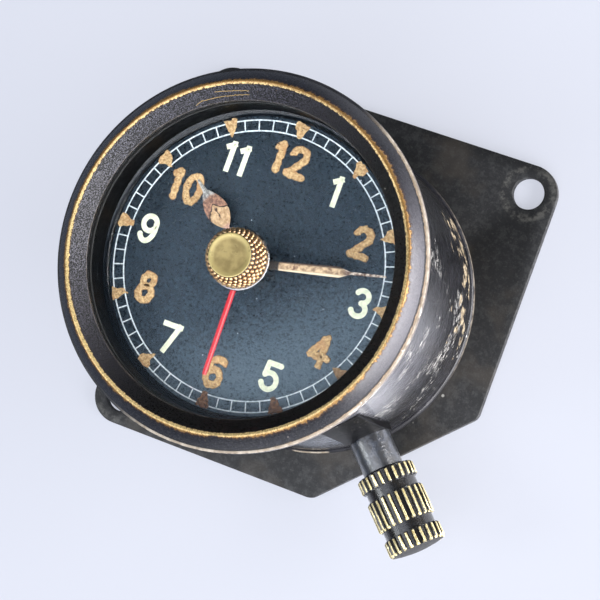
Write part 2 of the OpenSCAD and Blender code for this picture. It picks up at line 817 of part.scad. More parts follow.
// One ribbed band of the winder, with its two ends chamfered
module ribbed_band(length) {
    chamfer = 0.25;
    pitch = 360 / rib_count;
    intersection() {
        linear_extrude(length)
            polygon(toothed(rib_count, tooth_steps(crown_core_r, crown_r, pitch * 0.30, pitch * 0.20), 0));
        rotate_extrude() polygon([[0, 0], [crown_r - chamfer, 0], [crown_r + eps, chamfer],
            [crown_r + eps, length - chamfer], [crown_r - chamfer, length], [0, length]]);
    }
}

module winding_crown() {
    dome_r = crown_core_r;
    color([0.55, 0.45, 0.25]) on_stem(crown_base) difference() {
        union() {
            translate([0, 0, inner_band / 2])
                cylinder(r = crown_neck_r, h = crown_len - inner_band / 2 - eps);
            ribbed_band(inner_band);
            translate([0, 0, inner_band + band_gap]) ribbed_band(middle_band);
            translate([0, 0, crown_len - outer_band]) ribbed_band(outer_band);
            rotate_extrude() polygon([[0, crown_len - 0.2], [dome_r, crown_len - 0.2], [dome_r, crown_len],
                [dome_r * 0.75, crown_len + crown_dome_h * 0.6], [dome_r * 0.35, crown_len + crown_dome_h],
                [0, crown_len + crown_dome_h]]);
        }
        translate([0, 0, -eps]) cylinder(r = stem_d / 2 + stake, h = crown_len - outer_band);
    }
}

// Going train

module intermediate_wheel() {
    color([0.78, 0.65, 0.36]) at(inter_at, z_inter_wheel)
        crossed_wheel(inter_teeth[0], m_inter, arbor_r + stake, bearing(inter_at, centre_at));
}

module intermediate_arbor() {
    z_leaves = z_barrel_teeth + barrel_teeth_t / 2 - wheel_t / 2 - leaf_over;
    phase = gap_phase(barrel_at, inter_at, barrel_teeth[1]);
    color([0.6, 0.6, 0.63]) at(inter_at) {
        pivoted_arbor(arbor_r, pivot_r, z_back, z_back_top, z_front, z_front_top);
        translate([0, 0, z_leaves]) linear_extrude(wheel_t + 2 * leaf_over)
            gear_outline(barrel_teeth[1], m_barrel, pinion_form, phase);
    }
}

module centre_wheel() {
    color([0.78, 0.65, 0.36]) at(centre_at, z_centre_wheel)
        crossed_wheel(centre_teeth[0], m_centre, centre_arbor_r + stake, bearing(centre_at, third_at));
}

module centre_arbor() {
    z_leaves = z_inter_wheel - leaf_over;
    phase = gap_phase(inter_at, centre_at, inter_teeth[1]);
    color([0.6, 0.6, 0.63]) {
        translate([0, 0, z_back]) cylinder(r = centre_pivot_r, h = z_back_top - z_back + end_shake + eps);
        translate([0, 0, z_back_top + end_shake])
            cylinder(r = centre_arbor_r, h = z_cannon - fit - z_back_top - end_shake);
        translate([0, 0, z_cannon - fit - eps])
            cylinder(r = centre_arbor_r - 0.15, h = z_minute + hand_t + 0.2 - z_cannon);
        translate([0, 0, z_leaves]) linear_extrude(wheel_t + 2 * leaf_over)
            gear_outline(inter_teeth[1], m_inter, pinion_form, phase);
    }
}

module third_wheel() {
    color([0.78, 0.65, 0.36]) at(third_at, z_third_wheel)
        crossed_wheel(third_teeth[0], m_third, arbor_r + stake, bearing(third_at, fourth_at));
}

module third_arbor() {
    phase = gap_phase(centre_at, third_at, centre_teeth[1]);
    color([0.6, 0.6, 0.63]) at(third_at) train_arbor(centre_teeth[1], m_centre, z_centre_wheel, phase);
}

module fourth_wheel() {
    color([0.78, 0.65, 0.36]) at(fourth_at, z_fourth_wheel)
        crossed_wheel(fourth_teeth[0], m_fourth, pivot_r + stake, bearing(fourth_at, escape_at));
}

module fourth_arbor() {
    // The body steps down below the pinion, so the wheel sits on the thinner part
    z_step = z_third_wheel - 1;
    phase = gap_phase(third_at, fourth_at, third_teeth[1]);
    color([0.6, 0.6, 0.63]) at(fourth_at) {
        translate([0, 0, z_back]) cylinder(r = pivot_r, h = z_front_top - z_back);
        translate([0, 0, z_step]) cylinder(r = pivot_r + 0.1, h = z_front - end_shake - z_step);
        translate([0, 0, z_third_wheel - leaf_over]) linear_extrude(wheel_t + 2 * leaf_over)
            gear_outline(third_teeth[1], m_third, pinion_form, phase);
    }
}

// Escapement

module escape_wheel() {
    // Club teeth that lean forwards
    pitch = 360 / escape_count;
    steps = [[escape_root_r, 0], [escape_r, pitch * 0.42], [escape_r, pitch * 0.50],
        [escape_root_r, pitch * 0.55]];
    color([0.80, 0.68, 0.40]) at(escape_at, z_escape) linear_extrude(lever_t) difference() {
        polygon(toothed(escape_count, steps, 0));
        circle(slim_r + stake);
    }
}

module escape_arbor() {
    phase = gap_phase(fourth_at, escape_at, fourth_teeth[1]);
    color([0.6, 0.6, 0.63]) at(escape_at) {
        translate([0, 0, z_back]) cylinder(r = slim_r, h = z_bridge + bridge_t - z_back);
        translate([0, 0, z_fourth_wheel - leaf_over]) linear_extrude(wheel_t + 2 * leaf_over)
            gear_outline(fourth_teeth[1], m_fourth, pinion_form, phase);
    }
}

module pallet_lever() {
    // Drawn with the lever's arbor at the origin, then turned to face the escape wheel
    to_wheel = bearing(lever_at, escape_at);
    stone_r = escape_r + pallet_gap;
    stones = [for (s = [-1, 1])
        polar(lever_reach, to_wheel) + polar(stone_r, to_wheel + 180 + s * pallet_spread)];
    fork_len = balance_reach - impulse_r;
    slot_w = 2 * impulse_pin_r + slot_play;
    color([0.65, 0.65, 0.68]) at(lever_at) {
        translate([0, 0, z_escape]) linear_extrude(lever_t) {
            circle(lever_hub_r);
            for (s = stones) {
                link([0, 0], s * 0.85, lever_arm_w);
                translate(s) rotate(bearing(polar(lever_reach, to_wheel), s))
                    translate([0, -lever_arm_w / 2]) square([stone_len, lever_arm_w]);
            }
            difference() {
                union() {
                    link([0, 0], polar(fork_len - fork_l * 0.7, fork_deg), fork_stem_w);
                    rotate(fork_deg) translate([fork_len - fork_l * 0.8, -fork_w / 2])
                        square([fork_l, fork_w]);
                }
                rotate(fork_deg) translate([fork_len - fork_l * 0.43, -slot_w / 2])
                    square([2 * fork_l, slot_w]);
            }
        }
        translate([0, 0, z_back]) cylinder(r = staff_r, h = z_bridge + bridge_t - z_back);
    }
}

module balance_wheel() {
    color([0.80, 0.68, 0.40]) at(balance_at, z_balance) linear_extrude(balance_t) difference() {
        circle(balance_r);
        circle(pivot_r + stake);
        difference() {
            circle(balance_r - balance_rim);
            circle(balance_hub_r);
            rotate(fork_deg) square([2 * balance_r, balance_arm_w], center = true);
        }
    }
}

module balance_staff() {
    color([0.6, 0.6, 0.63]) at(balance_at) {
        translate([0, 0, z_back]) cylinder(r = staff_r, h = z_bridge + bridge_t - z_back);
        translate([0, 0, z_hair]) cylinder(r = pivot_r, h = z_roller - z_hair + roller_t);
        translate([0, 0, z_roller]) cylinder(r = roller_r, h = roller_t);
        rotate(fork_deg + 180) translate([impulse_r, 0, z_roller])
            cylinder(r = impulse_pin_r, h = z_escape + lever_t + 0.5 - z_roller);
        translate([0, 0, z_hair - end_shake])
            cylinder(r = hair_start_r - hair_t / 2 - collet_gap, h = collet_h);
    }
}

module hairspring() {
    end = balance_at + [hair_end_r, 0];
    color([0.4, 0.45, 0.6]) {
        at(balance_at, z_hair) linear_extrude(hair_w)
            spiral_strip(hair_start_r, hair_end_r, hair_turns, hair_t);
        at(end + [hair_stud_off, 0], z_back_top)
            cylinder(r = hair_stud_r, h = z_hair + hair_w + end_shake - z_back_top);
    }
}

module escapement_bridge() {
    color([0.76, 0.62, 0.33]) at([0, 0], z_bridge) linear_extrude(bridge_t) difference() {
        union() {
            link(bridge_post_places[0], escape_at, bridge_w);
            link(escape_at, lever_at, bridge_w);
            link(lever_at, balance_at, bridge_w);
            link(balance_at, bridge_post_places[1], bridge_w);
        }
        for (p = [lever_at, balance_at]) translate(p) circle(staff_r + fit);
        translate(escape_at) circle(slim_r + fit);
        for (p = bridge_post_places) translate(p) circle(pillar_screw_r + fit);
    }
}

module bridge_posts() {
    color([0.72, 0.58, 0.3]) for (p = bridge_post_places)
        at(p, z_back_top) ring(bridge_post_r, pillar_screw_r + stake, z_bridge - z_back_top);
}

module bridge_screws() {
    color([0.35, 0.37, 0.45]) for (p = bridge_post_places) at(p, z_bridge + bridge_t)
        slotted_screw(screw_head_r, screw_head_h, pillar_screw_r, bridge_t + bridge_screw_grip);
}

// Motion work behind the dial

module cannon_pinion() {
    bore_h = z_minute + hand_t + 0.2 - z_cannon;
    color([0.6, 0.6, 0.63]) at([0, 0], z_cannon) difference() {
        union() {
            linear_extrude(wheel_t + 2 * motion_over)
                gear_outline(cannon_teeth[0], m_cannon, pinion_form, bearing(centre_at, minute_at));
            cylinder(r = cannon_r, h = bore_h - fit);
        }
        translate([0, 0, -1]) cylinder(r = centre_arbor_r - 0.15 + stake, h = bore_h + 2);
    }
}

module minute_wheel() {
    pinion_h = z_hour_wheel - z_minute_wheel + wheel_t + motion_over;
    phase = gap_phase(centre_at, minute_at, cannon_teeth[1]);
    color([0.78, 0.65, 0.36]) at(minute_at, z_minute_wheel) difference() {
        union() {
            linear_extrude(wheel_t) gear_outline(cannon_teeth[1], m_cannon, wheel_form, phase);
            linear_extrude(pinion_h)
                gear_outline(hour_teeth[0], m_hour, pinion_form, bearing(minute_at, centre_at));
        }
        translate([0, 0, -1]) cylinder(r = minute_stud_r + fit, h = pinion_h + 2);
    }
}

module minute_stud() {
    color([0.6, 0.6, 0.63]) at(minute_at, z_front_top) {
        cylinder(r = minute_stud_r, h = z_hour_wheel + wheel_t + cannon_gap - z_front_top);
        cylinder(r = minute_stud_r + minute_stud_step, h = z_minute_wheel - fit - z_front_top);
    }
}

module hour_wheel() {
    phase = gap_phase(minute_at, centre_at, hour_teeth[1]);
    pipe_h = z_hour + hand_t - z_hour_wheel;
    color([0.78, 0.65, 0.36]) at([0, 0], z_hour_wheel) difference() {
        union() {
            linear_extrude(wheel_t) gear_outline(hour_teeth[1], m_hour, wheel_form, phase);
            cylinder(r = hour_pipe_r, h = pipe_h);
        }
        translate([0, 0, -1]) cylinder(r = cannon_r + fit, h = pipe_h + 2);
    }
}

// Hands

module hour_hand() {
    neck_w = 0.55;
    leaf = [6.7, 13.3];
    leaf_w = 4;
    mid = (leaf[0] + leaf[1]) / 2;
    arc_r = (pow((leaf[1] - leaf[0]) / 2, 2) + pow(leaf_w / 2, 2)) / leaf_w;
    hub_r = hour_pipe_r + 1;
    color([0.55, 0.42, 0.3]) at([0, 0], z_hour) rotate(90 - hour_deg) linear_extrude(hand_t) difference() {
        union() {
            circle(hub_r);
            translate([0, -neck_w / 2]) square([leaf[0] + 0.3, neck_w]);
            intersection() {
                translate([mid, arc_r - leaf_w / 2]) circle(arc_r);
                translate([mid, leaf_w / 2 - arc_r]) circle(arc_r);
            }
            polygon([[leaf[1] - 0.6, -0.4], [hour_len, -0.15], [hour_len, 0.15], [leaf[1] - 0.6, 0.4]]);
        }
        circle(hour_pipe_r + stake);
    }
}

module minute_hand() {
    // A bar that widens outwards, then a needle
    bar_end = 14.6;
    half = [[0, 0.6], [bar_end, 0.8], [bar_end + 1.2, 0.3], [minute_len, 0.15]];
    hub_r = cannon_r + 1.1;
    low_side = [for (p = half) [p[0], -p[1]]];
    high_side = [for (i = [len(half) - 1 : -1 : 0]) half[i]];
    color([0.55, 0.42, 0.3]) at([0, 0], z_minute) rotate(90 - minute_deg)
        linear_extrude(hand_t) difference() {
            union() {
                circle(hub_r);
                polygon(concat(low_side, high_side));
            }
            circle(cannon_r + stake);
        }
}

// Marker, set by hand from the front

module marker_knob() {
    knob_r = knob_d / 2;
    top_r = knob_top_d / 2;
    // The side bulges: upright at the foot, then drawn in to the top by a rising power of its height
    bulge_from = 0.25;
    bulge_steps = 6;
    side = [for (i = [0 : bulge_steps]) let (t = i / bulge_steps)
        [knob_r - (knob_r - top_r) * pow(t, 2.2), z_knob + knob_h * (bulge_from + (1 - bulge_from) * t)]];
    color([0.72, 0.58, 0.28]) rotate_extrude() polygon(concat([[spindle_r + stake, z_knob + knob_recess_h],
        [knob_recess_r, z_knob + knob_recess_h], [knob_recess_r, z_knob], [knob_r - 0.2, z_knob],
        [knob_r, z_knob + 0.2]], side, [[top_r - 0.25, z_knob_top], [top_r - 0.6, z_knob_top - knob_dish],
        [0, z_knob_top - knob_dish * 1.4], [0, z_knob_top - 1.2], [spindle_r + stake, z_knob_top - 1.2]]));
}

module marker_spindle() {
    low = z_marker - 0.2;
    color([0.6, 0.6, 0.63]) at([0, 0], low) cylinder(r = spindle_r, h = z_knob_top - 1.2 - stake - low);
}

module marker_bush() {
    bore = spindle_r + fit;
    color([0.8, 0.8, 0.8]) at([0, 0], z_glass - nut_t) {
        ring(bush_r, bore, nut_t + glass_t + bush_flange_t);
        translate([0, 0, nut_t + glass_t]) ring(bush_d / 2, bush_r - eps, bush_flange_t);
    }
}

module marker_nut() {
    color([0.7, 0.7, 0.7]) at([0, 0], z_glass - nut_t) difference() {
        cylinder(r = bush_r + 1, h = nut_t, $fn = 6);
        translate([0, 0, -1]) cylinder(r = bush_r + stake, h = nut_t + 2);
    }
}

module marker_spring() {
    z0 = z_glass_top + bush_flange_t;
    r0 = spindle_r + 2 * fit;
    r1 = knob_recess_r - 4 * fit;
    color([0.7, 0.7, 0.72]) rotate_extrude()
        polygon([[r0, z0 + 0.3], [r1, z0], [r1, z0 + 0.2], [r0, z0 + 0.5]]);
}

module marker_hand() {
    w = 1.06;
    tip_w = 0.8;
    color([0.75, 0.08, 0.07]) at([0, 0], z_marker) rotate(90 - marker_deg)
        linear_extrude(hand_t) difference() {
            union() {
                circle(spindle_r + 0.9);
                polygon([[0, -w / 2], [marker_len, -tip_w / 2], [marker_len, tip_w / 2], [0, w / 2]]);
            }
            circle(spindle_r + stake);
        }
}

mounting_plate();
back_screws();
case_drum();
stem_boss();
stem_tube();
bezel();
crystal();
crystal_gasket();
spacer_ring();
dial();
dial_feet();
back_plate();
front_plate();
movement_posts();
movement_pillars();
pillar_screws();
barrel();
barrel_cover();
mainspring();
barrel_arbor();
ratchet_wheel();
click();
click_spring();
crown_wheel();
crown_stud();
winding_pinion();
winding_stem();
stem_bearing();
winding_crown();
intermediate_wheel();
intermediate_arbor();
centre_wheel();
centre_arbor();
third_wheel();
third_arbor();
fourth_wheel();
fourth_arbor();
escape_wheel();
escape_arbor();
pallet_lever();
balance_wheel();
balance_staff();
hairspring();
escapement_bridge();
bridge_posts();
bridge_screws();
cannon_pinion();
minute_wheel();
minute_stud();
hour_wheel();
hour_hand();
minute_hand();
marker_knob();
marker_spindle();
marker_bush();
marker_nut();
marker_spring();
marker_hand();
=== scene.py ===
import math

import bmesh
import bpy
from mathutils import Matrix, Vector, noise


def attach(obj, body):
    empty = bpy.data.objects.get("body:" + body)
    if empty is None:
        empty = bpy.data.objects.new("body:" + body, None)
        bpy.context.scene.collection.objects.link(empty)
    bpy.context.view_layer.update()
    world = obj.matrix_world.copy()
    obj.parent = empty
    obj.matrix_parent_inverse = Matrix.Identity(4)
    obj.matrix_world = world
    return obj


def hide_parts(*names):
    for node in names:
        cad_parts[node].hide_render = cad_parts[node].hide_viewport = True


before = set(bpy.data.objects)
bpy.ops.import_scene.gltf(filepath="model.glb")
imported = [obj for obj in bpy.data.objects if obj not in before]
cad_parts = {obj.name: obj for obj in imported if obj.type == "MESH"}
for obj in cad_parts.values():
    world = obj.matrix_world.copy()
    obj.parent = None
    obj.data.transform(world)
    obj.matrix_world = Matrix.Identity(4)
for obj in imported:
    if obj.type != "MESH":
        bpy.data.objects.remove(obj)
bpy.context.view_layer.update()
scene = bpy.context.scene

# Mounting plate: 1.6 mm steel sheet, blanked square with three screw holes and one corner cut off for
# the winder, then painted matt black. Years of handling left it mottled grey-brown, with pale specks.
# Three countersunk screws come through it from behind and hold the drum.
MM = 0.001
plate_w, plate_t, plate_corner, plate_edge = 63.5, 1.6, 4.75, 0.16
corner_cut, cut_corner = 29.6, 0.7
hole_at, hole_r = 27.0, 2.6
back_screw_ring, back_screw_hole, back_sink = 17.0, 1.3, 1.05


def shade(red, green, blue):
    """A colour from a paint chart, 0 to 255, for a shader's socket."""
    chart = [v / 255 for v in (red, green, blue)]
    return (*[v / 12.92 if v < 0.04045 else ((v + 0.055) / 1.055) ** 2.4 for v in chart], 1.0)


class Finish:
    """A finish being mixed: each call adds a node and gives its output. Lengths are in millimetres,
    colours as a paint chart gives them."""

    def __init__(self, name, metal=0.0, rough=0.5, inputs=(), turn=0.0, shift=(0, 0, 0)):
        self.material = bpy.data.materials.new(name)
        self.material.use_nodes = True
        self.tree = self.material.node_tree
        self.shader = self.tree.nodes["Principled BSDF"]
        for key, value in {"Metallic": metal, "Roughness": rough, **dict(inputs)}.items():
            self.feed(self.shader.inputs[key], value)
        self.here = self.spot(turn, shift)

    def feed(self, socket, value):
        if isinstance(value, bpy.types.NodeSocket):
            self.tree.links.new(value, socket)
        else:
            socket.default_value = shade(*value) if socket.type == "RGBA" else value

    def node(self, kind, inputs=(), **settings):
        made = self.tree.nodes.new(kind)
        for key, value in settings.items():
            setattr(made, key, value)
        for key, value in dict(inputs).items():
            self.feed(made.inputs[key], value)
        return made

    def spot(self, turn=0.0, shift=(0, 0, 0), stretch=(1, 1, 1)):
        """The piece's own coordinates in millimetres, turned about Z by some degrees, then shifted."""
        here = self.node("ShaderNodeTexCoord").outputs["Object"]
        sizes = [s / MM for s in stretch]
        return self.node("ShaderNodeMapping", {"Vector": here, "Scale": sizes, "Location": shift,
                                               "Rotation": (0, 0, math.radians(turn))}).outputs[0]

    def split(self):
        return self.node("ShaderNodeSeparateXYZ", {0: self.here}).outputs

    def join(self, x, y, z):
        return self.node("ShaderNodeCombineXYZ", {0: x, 1: y, 2: z}).outputs[0]

    def sum(self, operation, a, b=0.0, c=0.0):
        return self.node("ShaderNodeMath", {0: a, 1: b, 2: c}, operation=operation).outputs[0]

    def times(self, a, b):
        return self.sum("MULTIPLY", a, b)

    def minus(self, a, b):
        return self.sum("SUBTRACT", a, b)

    def scaled(self, a, share, base):
        """A share of a, added to base."""
        return self.sum("MULTIPLY_ADD", a, share, base)

    def most(self, a, b):
        return self.sum("MAXIMUM", a, b)

    def span(self, a, b):
        """How far a point lies from an axis, from its two offsets."""
        return self.sum("SQRT", self.scaled(a, a, self.times(b, b)))

    def off(self, a, b):
        """How far a lies from b, to either side."""
        return self.sum("ABSOLUTE", self.minus(a, b))

    def ramp(self, value, low, high, to_low=0.0, to_high=1.0):
        """0 to 1, or the two values given, in a soft step as value goes from low to high."""
        return self.node("ShaderNodeMapRange", {0: value, 1: low, 2: high, 3: to_low, 4: to_high},
                         interpolation_type="SMOOTHSTEP").outputs[0]

    def near(self, a, b, far, close, top=1.0):
        """From 0 where a lies far from b up to 1, or top, where it is close to it."""
        return self.ramp(self.off(a, b), far, close, 0.0, top)

    def cloud(self, per_mm, where=None, detail=3.0, rough=0.55):
        return self.node("ShaderNodeTexNoise", {"Vector": where or self.here, "Scale": per_mm,
                                                "Detail": detail, "Roughness": rough}).outputs[0]

    def cells(self, per_mm, where=None):
        """Distance to the nearest of scattered points."""
        return self.node("ShaderNodeTexVoronoi", {"Vector": where or self.here,
                                                  "Scale": per_mm}).outputs["Distance"]

    def mix(self, share, first, second):
        return self.node("ShaderNodeMix", {0: share, 6: first, 7: second}, data_type="RGBA").outputs[2]

    def step(self, value, low, high, first, second):
        """From the first colour to the second as value goes from low to high."""
        return self.mix(self.ramp(value, low, high), first, second)

    def coat(self, colour, rough=None, metal=None):
        for key, value in (("Base Color", colour), ("Roughness", rough), ("Metallic", metal)):
            if value is not None:
                self.feed(self.shader.inputs[key], value)

    def relief(self, height, depth, onto=None):
        """Raises the surface by depth where height is 1."""
        made = self.node("ShaderNodeBump", {"Height": height, "Distance": depth * MM, "Strength": 1.0})
        if onto is not None:
            self.feed(made.inputs["Normal"], onto)
        self.feed(self.shader.inputs["Normal"], made.outputs[0])
        return made.outputs[0]


def placed(name, bm):
    """Puts a mesh drawn in millimetres into the scene."""
    bmesh.ops.scale(bm, vec=(MM, MM, MM), verts=bm.verts[:])
    mesh = bpy.data.meshes.new(name)
    bm.to_mesh(mesh)
    bm.free()
    made = bpy.data.objects.new(name, mesh)
    scene.collection.objects.link(made)
    return made


def piece(name, bm, body, slot, finish, *nodes, sharp=32):
    """Closes a mesh, dresses it and lets it ride on its body."""
    bmesh.ops.remove_doubles(bm, verts=bm.verts[:], dist=0.0004)
    bmesh.ops.dissolve_degenerate(bm, edges=bm.edges[:], dist=0.0001)
    bmesh.ops.recalc_face_normals(bm, faces=bm.faces[:])
    made = placed(name, bm)
    made.data.shade_smooth()
    made.data.set_sharp_from_angle(angle=math.radians(sharp))
    made.data.materials.append(finish.material)
    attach(made, body)
    if nodes:
        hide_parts(*nodes)
    return made


def draw_out(bm, faces, vec):
    """Draws faces out into a solid and gives the points of its new side."""
    grown = bmesh.ops.extrude_face_region(bm, geom=faces, use_keep_orig=True)["geom"]
    points = [g for g in grown if isinstance(g, bmesh.types.BMVert)]
    bmesh.ops.translate(bm, vec=vec, verts=points)
    return points


def soften(bm, geom, size, steps, affect="EDGES"):
    """Rounds edges or corners; a single step cuts them flat."""
    bmesh.ops.bevel(bm, geom=geom, offset=size, offset_type="OFFSET", segments=steps, profile=0.5,
                    affect=affect, material=-1)


matt = Finish("matt_black_plate")
x, y = matt.split()[:2]
mottle = matt.cloud(0.9, detail=7, rough=0.7)
grain = matt.cloud(3.6)
stain = matt.cloud(0.11)
black = matt.step(mottle, 0.46, 0.62, (4, 4, 5), (33, 33, 32))
black = matt.mix(matt.times(matt.ramp(stain, 0.5, 0.68), 0.55), black, (50, 44, 36))
black = matt.step(grain, 0.58, 0.82, black, (52, 52, 50))
from_hole = matt.span(matt.minus(matt.sum("ABSOLUTE", x), hole_at),
                      matt.minus(matt.sum("ABSOLUTE", y), hole_at))
washer = matt.times(matt.near(from_hole, 4.1, 0.9, 0.1), matt.ramp(mottle, 0.4, 0.65))
black = matt.mix(matt.times(washer, 0.45), black, (96, 94, 88))
specks = matt.ramp(matt.cells(0.16), 0.05, 0.03)
black = matt.mix(specks, black, (140, 138, 132))
matt.coat(black, rough=matt.ramp(mottle, 0.3, 0.75, 0.6, 0.42))
matt.relief(matt.cloud(4.0, detail=5), 0.03)

bm = bmesh.new()
half = plate_w / 2
cut = corner_cut * math.sqrt(2) - half
outline = [bm.verts.new((x, y, 0)) for x, y in
           ((-half, half), (half, half), (half, -cut), (cut, -half), (-half, -half))]
bm.faces.new(outline)
for corners, size, steps in (([outline[0], outline[1], outline[4]], plate_corner, 14),
                             ([outline[2], outline[3]], cut_corner, 4)):
    soften(bm, corners, size, steps, "VERTICES")
bmesh.ops.delete(bm, geom=bm.faces[:], context="FACES_ONLY")
screw_places = [Vector((back_screw_ring * math.cos(a), back_screw_ring * math.sin(a), 0))
                for a in (math.radians(d) for d in (30, 150, 270))]
for x, y in ((-1, 1), (1, 1), (-1, -1)):
    bmesh.ops.create_circle(bm, segments=64, radius=hole_r,
                            matrix=Matrix.Translation((x * hole_at, y * hole_at, 0)))
for place in screw_places:
    bmesh.ops.create_circle(bm, segments=40, radius=back_screw_hole, matrix=Matrix.Translation(place))
bmesh.ops.triangle_fill(bm, use_beauty=True, use_dissolve=False, edges=bm.edges[:])
draw_out(bm, bm.faces[:], (0, 0, plate_t))
bmesh.ops.recalc_face_normals(bm, faces=bm.faces[:])


def near_screw(edge):
    return any((v.co - place).length < back_screw_hole + 0.05 for place in screw_places for v in edge.verts)


rims = [e for e in bm.edges if len(e.link_faces) == 2 and e.calc_face_angle() > 1.2]
sinks = [e for e in rims if near_screw(e)]
soften(bm, [e for e in rims if e not in set(sinks)], plate_edge, 3)
soften(bm, [e for e in sinks if e.is_valid], back_sink, 1)
piece("plate_sheet", bm, "case", "black_enamel", matt, "mounting_plate", sharp=20)

# Back screws: three countersunk steel screws with sawn slots, let in flush with the plate's back.
# They pass through plate, drum floor and posts into the movement's back plate.
screw = Finish("dull_screw_steel", metal=1.0)
tarnish = screw.cloud(0.9, detail=4)
screw.coat(screw.mix(tarnish, (92, 90, 88), (140, 137, 131)), rough=screw.ramp(tarnish, 0.3, 0.7, 0.5, 0.3))
screw.relief(screw.cloud(2.0, screw.spot(stretch=(1, 12, 1))), 0.01)


def dress(finish, *nodes):
    """Gives solids that keep their own shape a finish."""
    for name in nodes:
        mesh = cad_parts[name].data
        mesh.materials.clear()
        mesh.materials.append(finish.material)


dress(screw, "back_screws")

# Drum: turned brass cup, screwed to the plate, with a bead at its foot and a flange at its mouth that
# the bezel sits on. Satin black enamel, worn to bare cream-coloured metal on the flange's edge and
# knocked and scraped on the side that was handled, between 2 and 5 o'clock.
drum_r, drum_bore, mouth_r, seat_r = 25.4, 23.4, 24.7, 24.2
flange_r, flange_z, rim_z = 28.4, 46.75, 47.7
floor_z, dial_seat_z, mouth_z = 3.2, 40.1, 45.2


def turned(points, steps=192):
    """A closed profile of (radius, height, rounding) points, spun round the axis."""
    bm = bmesh.new()
    verts = [bm.verts.new((p[0], 0, p[1])) for p in points]
    for (a, p), (b, q) in zip(zip(verts, points), zip(verts[1:] + verts[:1], points[1:] + points[:1])):
        if p[0] > 0 or q[0] > 0:
            bm.edges.new((a, b))
    for vert, p in zip(verts, points):
        if len(p) > 2:
            soften(bm, [vert], p[2], 5, "VERTICES")
    bmesh.ops.spin(bm, geom=bm.verts[:] + bm.edges[:], cent=(0, 0, 0), axis=(0, 0, 1),
                   angle=2 * math.pi, steps=steps, use_merge=True)
    return bm


satin = Finish("satin_black_drum", inputs={"Coat Roughness": 0.15, "Coat IOR": 1.7})
x, y, z = satin.split()
radius = satin.span(x, y)
around = satin.sum("ARCTAN2", y, x)
arc = satin.times(around, drum_r)
sheet = satin.join(arc, z, satin.times(radius, 0.3))
mottle = satin.cloud(0.35, sheet, detail=4)
paint = satin.step(mottle, 0.35, 0.75, (17, 17, 21), (42, 42, 47))
clusters = satin.ramp(satin.cloud(0.13, sheet), 0.44, 0.62)
wear_and_sheen = satin.times(satin.near(around, -0.12, 1.0, 0.4), clusters)
hoops = satin.join(satin.times(arc, 0.22), satin.times(z, 2.6), 7.0)
brushed = satin.cloud(1.0, hoops, detail=5, rough=0.7)
# A painted sheen: high on the drum round 4 o'clock the paint is made pale grey in brushed streaks, standing
# in for the floor's reflection in the lacquer.
under_flange = satin.times(satin.ramp(z, 12.0, 33.0), satin.near(around, -0.58, 0.8, 0.15))
painted_sheen = satin.times(satin.ramp(brushed, 0.32, 0.62, 0.35, 1.0), under_flange)
paint = satin.mix(painted_sheen, paint, (122, 121, 127))
# A painted reflection: a pale grey patch on the drum at about 5 o'clock, beside the boss.
pale_reflection_left_of_boss = satin.times(satin.near(around, -1.02, 0.24, 0.1), satin.near(z, 16.0, 14.0, 3.0))
paint = satin.mix(pale_reflection_left_of_boss, paint, (150, 155, 166))
slant = satin.join(satin.scaled(z, 0.3, satin.times(arc, 0.5)), satin.times(z, 2.3), 3.0)
streaks = satin.cloud(1.7, slant, detail=5, rough=0.6)
patches = satin.cloud(0.42, satin.join(arc, satin.times(z, 0.8), 11.0), detail=6, rough=0.66)
near_foot = satin.times(satin.ramp(z, 20.0, 7.0), satin.ramp(z, plate_t + 1.2, plate_t + 2.4))
bare = satin.ramp(satin.scaled(wear_and_sheen, 0.16, streaks), 0.72, 0.745)
bare = satin.times(bare, satin.ramp(wear_and_sheen, 0.05, 0.3))
upper_side = satin.near(around, 0.42, 0.75, 0.3)
lost = satin.ramp(satin.scaled(satin.times(upper_side, near_foot), 0.2, patches), 0.72, 0.75)
lost = satin.times(lost, satin.ramp(upper_side, 0.1, 0.5))
grains = satin.cloud(1.1, sheet, detail=4)
on_foot = satin.ramp(satin.scaled(grains, 0.5, radius), drum_r + 0.62, drum_r + 0.72)
low_down = satin.ramp(z, plate_t + 1.4, plate_t + 0.9, 0.0, 0.4)
foot_wear_and_highlight = satin.times(on_foot, satin.times(upper_side, low_down))
# A painted highlight: a short pale bar on the foot bead between 5 and 6 o'clock, joined to the worn line
# along the foot near 2 o'clock.
on_bead = satin.times(satin.ramp(radius, drum_r + 0.22, drum_r + 0.34), satin.ramp(z, 5.0, 4.0))
foot_wear_and_highlight = satin.most(foot_wear_and_highlight, satin.times(satin.near(around, -1.27, 0.13, 0.1), on_bead))
flange_edge = satin.ramp(satin.scaled(grains, 0.3, z), rim_z, rim_z + 0.06)
flange_edge = satin.times(flange_edge, satin.near(around, -0.38, 1.6, 1.3))
# A painted sheen: the flange's outer face is painted lighter grey-brown round 3 o'clock, where the lamps on
# the right fall on it.
flange_face = satin.ramp(radius, drum_r + 1.5, drum_r + 2.5)
flange_face = satin.times(flange_face, satin.near(around, 0.03, 1.2, 0.85))
paint = satin.mix(satin.times(flange_face, 0.8), paint, (112, 102, 94))
cream = satin.step(grains, 0.35, 0.65, (148, 134, 116), (182, 171, 155))
beige = satin.step(grains, 0.4, 0.6, (126, 112, 92), (190, 174, 146))
